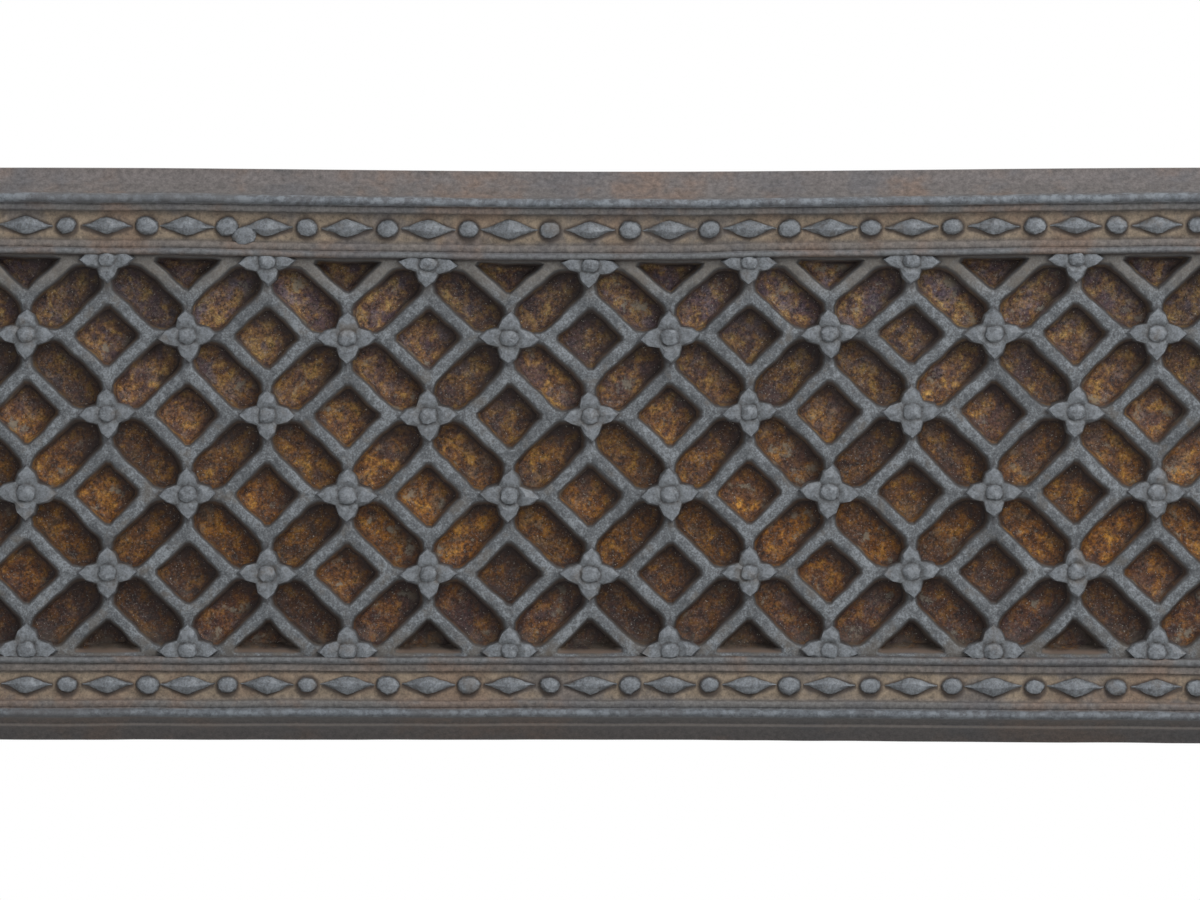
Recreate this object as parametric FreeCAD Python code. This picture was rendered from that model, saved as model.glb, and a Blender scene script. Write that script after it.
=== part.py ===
import FreeCAD, Part
import math
import os

# Whole insert
outer_width = 1000.0
opening_height = 560.0
mitre_gap = 0.4

# How far a cut runs past the face that it opens
overcut = 1.0

# Border moulding, widths from the outer edge inwards
cove_width = 5.4
fillet_width = 3.95
torus_width = 3.2
outer_step_width = 2.65
bead_band_width = 9.2
inner_step_width = 2.7
lip_width = 2.65

# Border moulding, heights above the back plane
edge_height = 15.0
cove_height = 20.0
fillet_rise = 0.8
outer_step_height = 24.0
torus_shoulder = 1.4
inner_step_height = 23.6
lip_shoulder = 0.6
lip_crown = 1.0
cove_hollow = 0.75
fillet_hollow = 0.5

# Lattice field
field_height = 22.0
column_pitch = 28.0
row_pitch = 27.1
row_count = 5
row_margin = 1.75
bar_width = 3.6
diamond_half_width = 8.7
neck_half_width = 1.3
notch_distance = 5.2
notch_flare = 17.0
pocket_depth = 8.0
draft_run = 2.4
field_rim = 0.6
mitre_rib = 6.0
foot_rib = 12.0
smallest_pocket = 1.2

# Rosettes on the lattice
petal_reach = 9.7
petal_notch = 5.2
petal_tip_height = 0.5
petal_notch_height = 0.7
petal_crown = 2.6
petal_sink = 4.0
boss_radius = 3.0
boss_crown = 3.1

# Beads and lozenges in the bead band
bead_radius = 3.2
bead_sink = 0.7
lozenge_length = 18.0
lozenge_width = 6.0
lozenge_height = 2.4
lozenge_sink = 0.5

# Hollow back of the castings
hollow_depth = 8.0
flange_width = 10.0
rib_width = 10.0
casting_boss_radius = 12.0
tapped_depth = 11.0

# Square-head bolts and washers
bolt_radius = 4.0
bolt_head_width = 13.0
bolt_head_height = 5.5
bolt_reach = 10.5
washer_radius = 9.0
washer_thickness = 1.6
tapped_clearance = 0.1
through_clearance = 0.5

# Corner plates behind the mitres
plate_thickness = 6.0
plate_bolt_along = 36.0
plate_bolt_across = 20.0
plate_edge = 16.0

# Straps to the wall
strap_width = 30.0
strap_thickness = 5.0
strap_overhang = 40.0
strap_bolt_inset = 30.0
strap_edge = 15.0
wall_hole_radius = 4.5
low_strap_height = 110.0
high_strap_drop = 20.0
top_strap_gap = 24.5

# Shutter leaves, bar, lifting angle and pulls
leaf_thickness = 2.0
leaf_count = 3
leaf_spacing = 8.0
leaf_side_gap = 1.0
leaf_head_gap = 2.6
hidden_margin = 1.0
bar_thickness = 4.0
bar_height = 22.0
bar_end_gap = 6.5
angle_thickness = 1.5
shelf_thickness = 2.0
shelf_lead = 1.0
shelf_gap = 0.4
lip_thickness = 1.2
lip_gap = 0.3
lip_end_gap = 4.5
bracket_thickness = 2.4
bracket_width = 22.0
bracket_back_gap = 0.6
bracket_drop = 23.0
bracket_rise = 18.0
pull_inset = 46.0
knob_drop = 13.0
knob_radius = 8.5
knob_stand_off = 16.6
knob_stem_radius = 3.5
knob_tail_radius = 2.5
knob_tail_gap = 0.1
knob_peen_radius = 4.0
knob_peen_height = 1.0
rivet_radius = 2.5
rivet_gap = 0.05
rivet_head_radius = 5.0
rivet_head_height = 1.2
bar_rivet_edge = 16.0
bar_rivet_count = 8
bracket_rivet_rise = 6.5
bracket_rivet_pitch = 7.5
floor_gap = 4.0

# Guide rails and header
rail_set_back = 1.0
slot_depth = 12.0
slot_side_gap = 0.6
rail_web = 16.0
rail_back_wall = 6.0
rail_bolt_foot = 80.0
rail_bolt_drop = 180.0
rail_bolt_rise = 120.0
header_thickness = 5.0
header_leg = 35.0
header_margin = 4.5
header_bolt_drop = 20.0

# Border and panel sizes that follow from the moulding and the lattice
border_width = (cove_width + fillet_width + torus_width + outer_step_width
                + bead_band_width + inner_step_width + lip_width)
first_row = border_width + row_margin
panel_width = 2 * first_row + row_count * row_pitch
opening_width = outer_width - 2 * panel_width
overall_height = opening_height + panel_width
bead_line = cove_width + fillet_width + torus_width + outer_step_width + bead_band_width / 2
torus_top = outer_step_height + torus_shoulder + torus_width / 2
foot_end = outer_width / 2 - overall_height
mitre_end = outer_width / 2 - mitre_gap / math.sqrt(2)

# Depths behind the castings' back plane that follow from the shutter's stack
bar_front = bracket_back_gap + bracket_thickness
first_leaf = bar_front + bar_thickness
leaf_fronts = [first_leaf + leaf_spacing * number for number in range(leaf_count)]
angle_back = first_leaf + leaf_thickness + angle_thickness
lip_length = leaf_spacing - leaf_thickness - angle_thickness - lip_gap
rail_depth = leaf_fronts[-1] + leaf_thickness / 2 + rail_back_wall
rear_depth = rail_depth + header_thickness + washer_thickness + bolt_head_height
back_plane_y = (torus_top - rear_depth) / 2

# Places along the rails and the opening
rail_inner = opening_width / 2 + rail_set_back
slot_end = rail_inner + slot_depth
rail_outer = slot_end + rail_web
rail_bolt_x = slot_end + rail_web / 2
header_top = overall_height - header_margin
rail_top = header_top - header_thickness
leaf_half_width = slot_end - leaf_side_gap
leaf_top = rail_top - leaf_head_gap
lower_leaf_bottom = opening_height + hidden_margin
follower_bottom = lower_leaf_bottom + shelf_thickness + shelf_gap
bar_half_length = rail_inner - bar_end_gap
lip_half_length = rail_inner - lip_end_gap
pull_offset = bar_half_length - pull_inset
bracket_bottom = lower_leaf_bottom - bracket_drop
lower_travel = bracket_bottom - floor_gap
header_bolt_height = header_top - header_bolt_drop

# Bolt places on the right half, as (x, height)
half_root = math.sqrt(0.5)
corner_x = outer_width / 2 - panel_width / 2
corner_z = overall_height - panel_width / 2
jamb_bolt_x = outer_width / 2 - strap_bolt_inset
top_strap_x = rail_outer + top_strap_gap + strap_width / 2
top_strap_bolt_z = overall_height - strap_bolt_inset
strap_heights = [low_strap_height, opening_height - high_strap_drop]
rail_heights = [rail_bolt_foot, opening_height - rail_bolt_drop]
lintel_rail_height = opening_height + rail_bolt_rise


def corner_place(along, across):
    return (corner_x + (along - across) * half_root, corner_z + (along + across) * half_root)


lintel_corner_places = [corner_place(along, plate_bolt_across)
                        for along in (-plate_bolt_along, plate_bolt_along)]
jamb_corner_places = [corner_place(along, -plate_bolt_across)
                      for along in (-plate_bolt_along, plate_bolt_along)]
corner_places = lintel_corner_places + jamb_corner_places
rail_places = [(rail_bolt_x, height) for height in rail_heights + [lintel_rail_height]]
jamb_strap_places = [(jamb_bolt_x, height) for height in strap_heights]
top_strap_places = [(top_strap_x, top_strap_bolt_z)]
header_places = [(rail_bolt_x, header_bolt_height)]


def both_sides(places):
    return places + [(-x, z) for x, z in places]


# Pieces are drawn lying on their back: x across, y up the insert, h forwards from the back plane
def at(x, y, h):
    return FreeCAD.Vector(x, y, h)


def box(x_low, x_high, y_low, y_high, h_low, h_high):
    return Part.makeBox(x_high - x_low, y_high - y_low, h_high - h_low, at(x_low, y_low, h_low))


def rod(place, h_low, h_high, radius):
    return Part.makeCylinder(radius, h_high - h_low, at(place[0], place[1], h_low), at(0, 0, 1))


def group(solids):
    return Part.makeCompound(solids)


def mirrored(shape):
    return shape.mirror(at(0, 0, 0), at(1, 0, 0))


# Writes one piece, stood upright with the insert's front towards -Y
def save(name, shape):
    placed = shape.copy()
    placed.rotate(at(0, 0, 0), at(1, 0, 0), 90)
    placed.translate(at(0, back_plane_y, 0))
    placed.exportStep("parts/" + name + ".step")


def save_pair(name, right_shape):
    save("right_" + name, right_shape)
    save("left_" + name, mirrored(right_shape))


# Strip coordinates: u along a panel, v inwards from its outer edge, h forwards
def strip_at(u, v, h):
    return at(u, overall_height - v, h)


# Keeps the side of a convex polygon that reaches no further along the normal than the limit
def clip(polygon, normal_u, normal_v, limit):
    kept = []
    for (first_u, first_v), (next_u, next_v) in zip(polygon, polygon[1:] + polygon[:1]):
        first_over = normal_u * first_u + normal_v * first_v - limit
        next_over = normal_u * next_u + normal_v * next_v - limit
        if first_over <= 0:
            kept.append((first_u, first_v))
        if first_over * next_over < 0:
            share = first_over / (first_over - next_over)
            kept.append((first_u + share * (next_u - first_u), first_v + share * (next_v - first_v)))
    return kept


def square(u, v, half):
    return [(u - half, v - half), (u + half, v - half), (u + half, v + half), (u - half, v + half)]


# The lintel is mitred at both ends, a jamb at its upper end only
def panel_area(is_jamb, edge_inset, mitre_inset, foot_inset):
    mitre_reach = mitre_end * half_root - mitre_inset
    area = square(0, panel_width / 2, outer_width)
    area = clip(area, 0, -1, -edge_inset)
    area = clip(area, 0, 1, panel_width - edge_inset)
    area = clip(area, half_root, half_root, mitre_reach)
    if is_jamb:
        return clip(area, -1, 0, -foot_end - foot_inset)
    return clip(area, -half_root, half_root, mitre_reach)


def flat_face(points):
    return Part.Face(Part.makePolygon(points + points[:1]))


def solid_of(faces):
    solid = Part.Solid(Part.Shell(faces))
    if solid.Volume < 0:
        solid.reverse()
    return solid


def prism(polygon, h_low, h_high):
    return flat_face([strip_at(u, v, h_low) for u, v in polygon]).extrude(at(0, 0, h_high - h_low))


def profile_line(start, end):
    return Part.makeLine(strip_at(0, *start), strip_at(0, *end))


def profile_arc(start, middle, end):
    return Part.Arc(strip_at(0, *start), strip_at(0, *middle), strip_at(0, *end)).toShape()


def hollow_arc(start, end, hollow):
    run = end[0] - start[0]
    rise = end[1] - start[1]
    length = math.hypot(run, rise)
    middle = ((start[0] + end[0]) / 2 + hollow * rise / length,
              (start[1] + end[1]) / 2 - hollow * run / length)
    return profile_arc(start, middle, end)


# Section of the outer border, from the back edge to the field: cove, fillet, torus, bead band and lip
def border_edges():
    fillet_start = cove_width
    torus_start = fillet_start + fillet_width
    torus_end = torus_start + torus_width
    band_start = torus_end + outer_step_width
    band_end = band_start + bead_band_width
    lip_start = band_end + inner_step_width
    torus_level = outer_step_height + torus_shoulder
    lip_level = inner_step_height + lip_shoulder
    torus_crown = ((torus_start + torus_end) / 2, torus_top)
    lip_middle = ((lip_start + border_width) / 2, lip_level + lip_crown)
    fillet_level = cove_height + fillet_rise
    return [
        profile_line((0, 0), (0, edge_height)),
        hollow_arc((0, edge_height), (cove_width, cove_height), cove_hollow),
        profile_line((cove_width, cove_height), (cove_width, fillet_level)),
        hollow_arc((fillet_start, fillet_level), (torus_start, outer_step_height), fillet_hollow),
        profile_line((torus_start, outer_step_height), (torus_start, torus_level)),
        profile_arc((torus_start, torus_level), torus_crown, (torus_end, torus_level)),
        profile_line((torus_end, torus_level), (torus_end, outer_step_height)),
        profile_line((torus_end, outer_step_height), (band_start, outer_step_height)),
        profile_line((band_start, outer_step_height), (band_start, field_height)),
        profile_line((band_start, field_height), (band_end, field_height)),
        profile_line((band_end, field_height), (band_end, inner_step_height)),
        profile_line((band_end, inner_step_height), (lip_start, inner_step_height)),
        profile_line((lip_start, inner_step_height), (lip_start, lip_level)),
        profile_arc((lip_start, lip_level), lip_middle, (border_width, lip_level)),
        profile_line((border_width, lip_level), (border_width, field_height)),
    ]


# The plain moulded panel, before its pockets and ornaments
def moulded_panel(is_jamb):
    outer = border_edges()
    inner = [edge.mirror(strip_at(0, panel_width / 2, 0), at(0, 1, 0)) for edge in outer]
    field = profile_line((border_width, field_height), (panel_width - border_width, field_height))
    back = profile_line((0, 0), (panel_width, 0))
    section = Part.Face(Part.Wire(Part.__sortEdges__(outer + inner + [field, back])))
    section.translate(at(-outer_width, 0, 0))
    moulding = section.extrude(at(2 * outer_width, 0, 0))
    return moulding.common(prism(panel_area(is_jamb, 0, 0, 0), -overcut, torus_top + overcut))


def node_place(column, row):
    return (column * column_pitch, first_row + row * row_pitch)


def is_rosette(column, row):
    return (column + row) % 2 == 0


def lattice_columns():
    reach = math.ceil(outer_width / 2 / column_pitch)
    return range(-reach, reach + 1)


# Square pocket set on its corner, parallel to the two bar directions
def diamond_pocket(column, row):
    u, v = node_place(column, row)
    length = math.hypot(column_pitch, row_pitch)
    pocket = square(u, v, column_pitch)
    for way_u, way_v in ((1, 1), (1, -1), (-1, 1), (-1, -1)):
        normal_u = way_u * row_pitch / length
        normal_v = way_v * column_pitch / length
        pocket = clip(pocket, normal_u, normal_v, normal_u * u + normal_v * v + diamond_half_width)
    return pocket


# Long pocket from rosette to rosette, between two diamonds' rings, with pointed ends at the petals' notches
def long_pocket(column, row):
    low_u, low_v = node_place(column, row)
    high_u = low_u + column_pitch
    high_v = low_v + row_pitch
    length = math.hypot(column_pitch, row_pitch)
    falling = 1 if is_rosette(column, row) else -1
    along_u = column_pitch / length
    along_v = falling * row_pitch / length
    middle_u = (low_u + high_u) / 2
    middle_v = (low_v + high_v) / 2
    half_width = column_pitch * row_pitch / length - diamond_half_width - bar_width
    notch_reach = length / 2 - notch_distance
    flare_cos = math.cos(math.radians(notch_flare))
    flare_sin = math.sin(math.radians(notch_flare))
    pocket = [(low_u + neck_half_width, low_v + neck_half_width),
              (high_u - neck_half_width, low_v + neck_half_width),
              (high_u - neck_half_width, high_v - neck_half_width),
              (low_u + neck_half_width, high_v - neck_half_width)]
    for side in (1, -1):
        normal_u = -side * along_v
        normal_v = side * along_u
        pocket = clip(pocket, normal_u, normal_v, normal_u * middle_u + normal_v * middle_v + half_width)
    for end in (1, -1):
        for side in (1, -1):
            normal_u = end * along_u * flare_cos - side * along_v * flare_sin
            normal_v = end * along_v * flare_cos + side * along_u * flare_sin
            limit = normal_u * middle_u + normal_v * middle_v + notch_reach * flare_cos
            pocket = clip(pocket, normal_u, normal_v, limit)
    return pocket


def centre_of(polygon):
    face = flat_face([at(u, v, 0) for u, v in polygon])
    return face.CenterOfMass.x, face.CenterOfMass.y


# Distance from a point inside a convex polygon to its nearest side
def least_reach(polygon, centre):
    reaches = []
    for (first_u, first_v), (next_u, next_v) in zip(polygon, polygon[1:] + polygon[:1]):
        run_u = next_u - first_u
        run_v = next_v - first_v
        across = (centre[0] - first_u) * run_v - (centre[1] - first_v) * run_u
        reaches.append(abs(across) / math.hypot(run_u, run_v))
    return min(reaches)


def without_short_sides(polygon):
    kept = []
    for point, previous in zip(polygon, polygon[-1:] + polygon[:-1]):
        if math.dist(point, previous) > field_rim:
            kept.append(point)
    return kept


def scaled(polygon, centre, factor):
    return [(centre[0] + factor * (u - centre[0]), centre[1] + factor * (v - centre[1]))
            for u, v in polygon]


# Room that a pocket takes away: drafted walls down to a flat floor, drawn on past the field's face
def pocket_room(outline):
    centre = centre_of(outline)
    reach = least_reach(outline, centre)
    if reach < draft_run + smallest_pocket:
        return None
    floor_loop = scaled(outline, centre, 1 - draft_run / reach)
    mouth_loop = scaled(outline, centre, 1 + draft_run / reach * overcut / pocket_depth)
    floor = [strip_at(u, v, field_height - pocket_depth) for u, v in floor_loop]
    mouth = [strip_at(u, v, field_height + overcut) for u, v in mouth_loop]
    faces = [flat_face(floor), flat_face(mouth)]
    for number in range(len(floor)):
        faces.append(flat_face([floor[number - 1], floor[number], mouth[number], mouth[number - 1]]))
    return solid_of(faces)


def pocket_rooms(is_jamb):
    window = panel_area(is_jamb, border_width + field_rim, mitre_rib, foot_rib)
    outlines = []
    for column in lattice_columns():
        for row in range(row_count + 1):
            if not is_rosette(column, row):
                outlines.append(diamond_pocket(column, row))
            if row < row_count:
                outlines.append(long_pocket(column, row))
    rooms = []
    for outline in outlines:
        for (first_u, first_v), (next_u, next_v) in zip(window, window[1:] + window[:1]):
            normal_u = next_v - first_v
            normal_v = first_u - next_u
            outline = clip(outline, normal_u, normal_v, normal_u * first_u + normal_v * first_v)
        outline = without_short_sides(outline)
        if len(outline) > 2:
            room = pocket_room(outline)
            if room:
                rooms.append(room)
    return rooms


def inside(area, u, v, margin):
    for (first_u, first_v), (next_u, next_v) in zip(area, area[1:] + area[:1]):
        run_u = next_u - first_u
        run_v = next_v - first_v
        depth = ((v - first_v) * run_u - (u - first_u) * run_v) / math.hypot(run_u, run_v)
        if depth < margin:
            return False
    return True


# Four-petalled rosette at the origin: a ridged star with a round boss in its middle
def rosette():
    rim = []
    for petal in range(4):
        tip = math.radians(90 * petal)
        notch = tip + math.radians(45)
        rim.append((petal_reach * math.cos(tip), petal_reach * math.sin(tip), petal_tip_height))
        rim.append((petal_notch * math.cos(notch), petal_notch * math.sin(notch), petal_notch_height))
    crown = at(0, 0, petal_crown)
    faces = [flat_face([at(x, y, -petal_sink) for x, y, height in rim])]
    for (x, y, height), (next_x, next_y, next_height) in zip(rim, rim[1:] + rim[:1]):
        foot = [at(x, y, -petal_sink), at(next_x, next_y, -petal_sink)]
        edge = [at(next_x, next_y, next_height), at(x, y, height)]
        faces.append(flat_face(foot + edge))
        faces.append(flat_face(edge + [crown]))
    star = solid_of(faces)
    return star.fuse(Part.makeSphere(boss_radius, at(0, 0, boss_crown - boss_radius)))


def lozenge():
    half_length = lozenge_length / 2
    half_width = lozenge_width / 2
    rim = [at(half_length, 0, -lozenge_sink), at(0, half_width, -lozenge_sink),
           at(-half_length, 0, -lozenge_sink), at(0, -half_width, -lozenge_sink)]
    crown = at(0, 0, lozenge_height)
    faces = [flat_face(rim)]
    for number in range(len(rim)):
        faces.append(flat_face([rim[number - 1], rim[number], crown]))
    return solid_of(faces)


def placed(shape, u, v):
    copy = shape.copy()
    copy.translate(strip_at(u, v, field_height))
    return copy


def rosettes(is_jamb):
    pattern = rosette()
    lip_line = border_width - lip_width / 2
    field = panel_area(is_jamb, lip_line, mitre_rib, foot_rib)
    room = prism(field, 0, 2 * torus_top)
    found = []
    for column in lattice_columns():
        for row in range(row_count + 1):
            u, v = node_place(column, row)
            if is_rosette(column, row) and inside(field, u, v, 0):
                shape = placed(pattern, u, v)
                if not inside(field, u, v, petal_reach):
                    shape = shape.common(room)
                found.append(shape)
    return found


def bead_rows(is_jamb):
    bead = Part.makeSphere(bead_radius, at(0, 0, -bead_sink))
    diamond = lozenge()
    panel = panel_area(is_jamb, 0, 0, 0)
    found = []
    for v in (bead_line, panel_width - bead_line):
        for column in lattice_columns():
            u = column * column_pitch
            if inside(panel, u, v, lozenge_length / 2):
                found.append(placed(diamond, u, v))
            if inside(panel, u + column_pitch / 2, v, lozenge_length / 2):
                found.append(placed(bead, u + column_pitch / 2, v))
    return found


# Hollow behind a panel, parted by one rib across its middle
def back_hollow(is_jamb):
    area = panel_area(is_jamb, flange_width, flange_width, flange_width)
    rib_middle = (foot_end + mitre_end - panel_width) / 2 if is_jamb else 0
    rib = box(rib_middle - rib_width / 2, rib_middle + rib_width / 2,
              0, overall_height, -overcut, hollow_depth)
    return prism(area, -overcut, hollow_depth).cut(rib)


# A jamb is the lintel's strip turned over about the mitre
def turned_down(shape):
    return shape.mirror(at(outer_width / 2, overall_height, 0), at(1, -1, 0))


# A whole panel in strip coordinates, with a tapped boss on its back at each bolt
def relief_casting(is_jamb, bolt_places):
    bosses = group([rod(place, -overcut, hollow_depth, casting_boss_radius) for place in bolt_places])
    hole_radius = bolt_radius + tapped_clearance
    holes = group([rod(place, -overcut, tapped_depth, hole_radius) for place in bolt_places])
    if is_jamb:
        bosses = turned_down(bosses)
        holes = turned_down(holes)
    panel = moulded_panel(is_jamb).cut(back_hollow(is_jamb).cut(bosses)).cut(holes)
    panel = panel.cut(group(pocket_rooms(is_jamb)))
    return panel.fuse(rosettes(is_jamb) + bead_rows(is_jamb))


def lintel_panel():
    places = both_sides(lintel_corner_places + top_strap_places + [(rail_bolt_x, lintel_rail_height)])
    return relief_casting(False, places)


def right_jamb_panel():
    places = jamb_corner_places + jamb_strap_places + [(rail_bolt_x, height) for height in rail_heights]
    return turned_down(relief_casting(True, places))


# A bolt from behind: head, then shank forwards to its tip
def square_bolt(place, seat, tip):
    x, y = place
    half = bolt_head_width / 2
    head = box(x - half, x + half, y - half, y + half, seat - bolt_head_height, seat)
    return head.fuse(rod(place, seat, tip, bolt_radius)).removeSplitter()


def washer(place, seat):
    hole = rod(place, seat - washer_thickness, seat, bolt_radius + through_clearance)
    return rod(place, seat - washer_thickness, seat, washer_radius).cut(hole)


def save_bolts(name, places, seat, tip):
    save(name + "_bolts", group([square_bolt(place, seat - washer_thickness, tip) for place in places]))
    save(name + "_washers", group([washer(place, seat) for place in places]))


def through_holes(places, h_low, h_high):
    radius = bolt_radius + through_clearance
    return group([rod(place, h_low - overcut, h_high + overcut, radius) for place in places])


def corner_plate():
    half_length = plate_bolt_along + plate_edge
    half_width = plate_bolt_across + plate_edge
    corners = [corner_place(along, across) for along, across in
               ((-half_length, -half_width), (half_length, -half_width),
                (half_length, half_width), (-half_length, half_width))]
    face = flat_face([at(x, y, -plate_thickness) for x, y in corners])
    plate = face.extrude(at(0, 0, plate_thickness))
    return plate.cut(through_holes(corner_places, -plate_thickness, 0))


def jamb_wall_strap(height):
    hole_x = outer_width / 2 + strap_overhang - strap_edge
    strap = box(jamb_bolt_x - strap_edge, outer_width / 2 + strap_overhang,
                height - strap_width / 2, height + strap_width / 2, -strap_thickness, 0)
    strap = strap.cut(through_holes([(jamb_bolt_x, height)], -strap_thickness, 0))
    return strap.cut(rod((hole_x, height), -strap_thickness - overcut, overcut, wall_hole_radius))


def top_wall_strap():
    hole_z = overall_height + strap_overhang - strap_edge
    strap = box(top_strap_x - strap_width / 2, top_strap_x + strap_width / 2,
                top_strap_bolt_z - strap_edge, overall_height + strap_overhang, -strap_thickness, 0)
    strap = strap.cut(through_holes(top_strap_places, -strap_thickness, 0))
    return strap.cut(rod((top_strap_x, hole_z), -strap_thickness - overcut, overcut, wall_hole_radius))


# Rail with one slot for each leaf, open towards the fire opening
def guide_rail():
    rail = box(rail_inner, rail_outer, 0, rail_top, -rail_depth, 0)
    for front in leaf_fronts:
        rail = rail.cut(box(rail_inner - overcut, slot_end, -overcut, rail_top + overcut,
                            -front - leaf_thickness - slot_side_gap, -front + slot_side_gap))
    rail = rail.cut(through_holes(rail_places, -rail_depth, 0))
    header_hole = bolt_radius + tapped_clearance
    tapped = [rod(place, -rail_depth - overcut, -rail_depth + tapped_depth, header_hole)
              for place in header_places]
    return rail.cut(group(tapped))


def header_angle():
    leg = box(-rail_outer, rail_outer, header_top - header_leg, header_top,
              -rail_depth - header_thickness, -rail_depth)
    shelf = box(-rail_outer, rail_outer, rail_top, header_top, -rail_depth, 0)
    angle = leg.fuse(shelf).removeSplitter()
    return angle.cut(through_holes(both_sides(header_places), -rail_depth - header_thickness, -rail_depth))


# Rivet places as (x, height)
bar_rivet_reach = bar_half_length - bar_rivet_edge
bar_rivet_pitch = 2 * bar_rivet_reach / (bar_rivet_count - 1)
bar_rivet_places = [(number * bar_rivet_pitch - bar_rivet_reach, lower_leaf_bottom + bar_height / 2)
                    for number in range(bar_rivet_count)]
bracket_rivet_places = [(pull_offset, lower_leaf_bottom + bracket_rivet_rise + number * bracket_rivet_pitch)
                        for number in range(2)]


def rivet_holes(h_low, h_high):
    places = bar_rivet_places + both_sides(bracket_rivet_places)
    radius = rivet_radius + rivet_gap
    return group([rod(place, h_low - overcut, h_high + overcut, radius) for place in places])


def leaf_sheet(number, bottom):
    front = leaf_fronts[number]
    return box(-leaf_half_width, leaf_half_width, bottom, leaf_top, -front - leaf_thickness, -front)


# Lips turned off a leaf's edge: the top lip backwards, the bottom lip forwards
def top_lip(number):
    back = leaf_fronts[number] + leaf_thickness
    return box(-lip_half_length, lip_half_length, leaf_top - lip_thickness, leaf_top,
               -back - lip_length, -back)


def bottom_lip(number):
    front = leaf_fronts[number]
    return box(-lip_half_length, lip_half_length, follower_bottom, follower_bottom + lip_thickness,
               -front, -front + lip_length)


def lower_leaf():
    leaf = leaf_sheet(0, lower_leaf_bottom).fuse(top_lip(0)).removeSplitter()
    return leaf.cut(rivet_holes(-angle_back, -first_leaf))


def follower_leaf(number):
    leaf = leaf_sheet(number, follower_bottom).fuse(bottom_lip(number))
    if number < leaf_count - 1:
        leaf = leaf.fuse(top_lip(number))
    return leaf.removeSplitter()


def lower_leaf_bar():
    bar = box(-bar_half_length, bar_half_length, lower_leaf_bottom, lower_leaf_bottom + bar_height,
              -first_leaf, -bar_front)
    return bar.cut(rivet_holes(-first_leaf, -bar_front))


# Angle behind the lower leaf, whose shelf reaches under the other leaves
def lifting_angle():
    leaf_back = first_leaf + leaf_thickness
    shelf_back = leaf_fronts[-1] + leaf_thickness + shelf_lead
    leg = box(-bar_half_length, bar_half_length, lower_leaf_bottom, lower_leaf_bottom + bar_height,
              -angle_back, -leaf_back)
    shelf = box(-bar_half_length, bar_half_length, lower_leaf_bottom, lower_leaf_bottom + shelf_thickness,
                -shelf_back, -angle_back)
    return leg.fuse(shelf).removeSplitter().cut(rivet_holes(-angle_back, -leaf_back))


def bar_rivets():
    rivets = []
    for place in bar_rivet_places:
        shank = rod(place, -angle_back, -bar_front, rivet_radius)
        head = Part.makeCone(rivet_head_radius, rivet_radius, rivet_head_height,
                             at(place[0], place[1], -bar_front), at(0, 0, 1))
        rivets.append(shank.fuse(head).removeSplitter())
    return group(rivets)


def bracket_rivets():
    return group([rod(place, -angle_back, -bracket_back_gap, rivet_radius)
                  for place in both_sides(bracket_rivet_places)])


knob_place = (pull_offset, lower_leaf_bottom - knob_drop)


def pull_bracket():
    bracket = box(pull_offset - bracket_width / 2, pull_offset + bracket_width / 2,
                  bracket_bottom, lower_leaf_bottom + bracket_rise, -bar_front, -bracket_back_gap)
    tail_hole = rod(knob_place, -bar_front - overcut, overcut, knob_tail_radius + knob_tail_gap)
    return bracket.cut(tail_hole).cut(rivet_holes(-bar_front, 0))


# Round pull on a stem, its tail peened over behind the bracket
def pull_knob():
    ball_height = knob_stand_off - bracket_back_gap
    ball = Part.makeSphere(knob_radius, at(knob_place[0], knob_place[1], ball_height))
    stem = rod(knob_place, -bracket_back_gap, ball_height, knob_stem_radius)
    tail = rod(knob_place, -bar_front, -bracket_back_gap, knob_tail_radius)
    peen = rod(knob_place, -bar_front - knob_peen_height, -bar_front, knob_peen_radius)
    return ball.fuse([stem, tail, peen]).removeSplitter()


def main():
    os.makedirs("parts", exist_ok=True)
    save("lintel_panel", lintel_panel())
    save_pair("jamb_panel", right_jamb_panel())
    save_pair("corner_plate", corner_plate())
    save_pair("guide_rail", guide_rail())
    save("header_angle", header_angle())
    save_pair("lower_wall_strap", jamb_wall_strap(strap_heights[0]))
    save_pair("upper_wall_strap", jamb_wall_strap(strap_heights[1]))
    save_pair("top_wall_strap", top_wall_strap())
    save_bolts("corner", both_sides(corner_places), -plate_thickness, bolt_reach)
    save_bolts("rail", both_sides(rail_places), -rail_depth, bolt_reach)
    save_bolts("header", both_sides(header_places), -rail_depth - header_thickness, bolt_reach - rail_depth)
    save_bolts("strap", both_sides(jamb_strap_places + top_strap_places), -strap_thickness, bolt_reach)
    save("lower_leaf", lower_leaf())
    save("middle_leaf", follower_leaf(1))
    save("upper_leaf", follower_leaf(2))
    save("lower_leaf_bar", lower_leaf_bar())
    save("lifting_angle", lifting_angle())
    save("bar_rivets", bar_rivets())
    save("bracket_rivets", bracket_rivets())
    save_pair("pull_bracket", pull_bracket())
    save_pair("pull_knob", pull_knob())
    print("overall height", overall_height, "opening", opening_width, "by", opening_height)
    print("shutter travel", lower_travel, "back plane y", back_plane_y)


main()
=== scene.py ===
import math

import bmesh
import bpy
import numpy as np
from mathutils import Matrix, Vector, geometry


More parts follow.
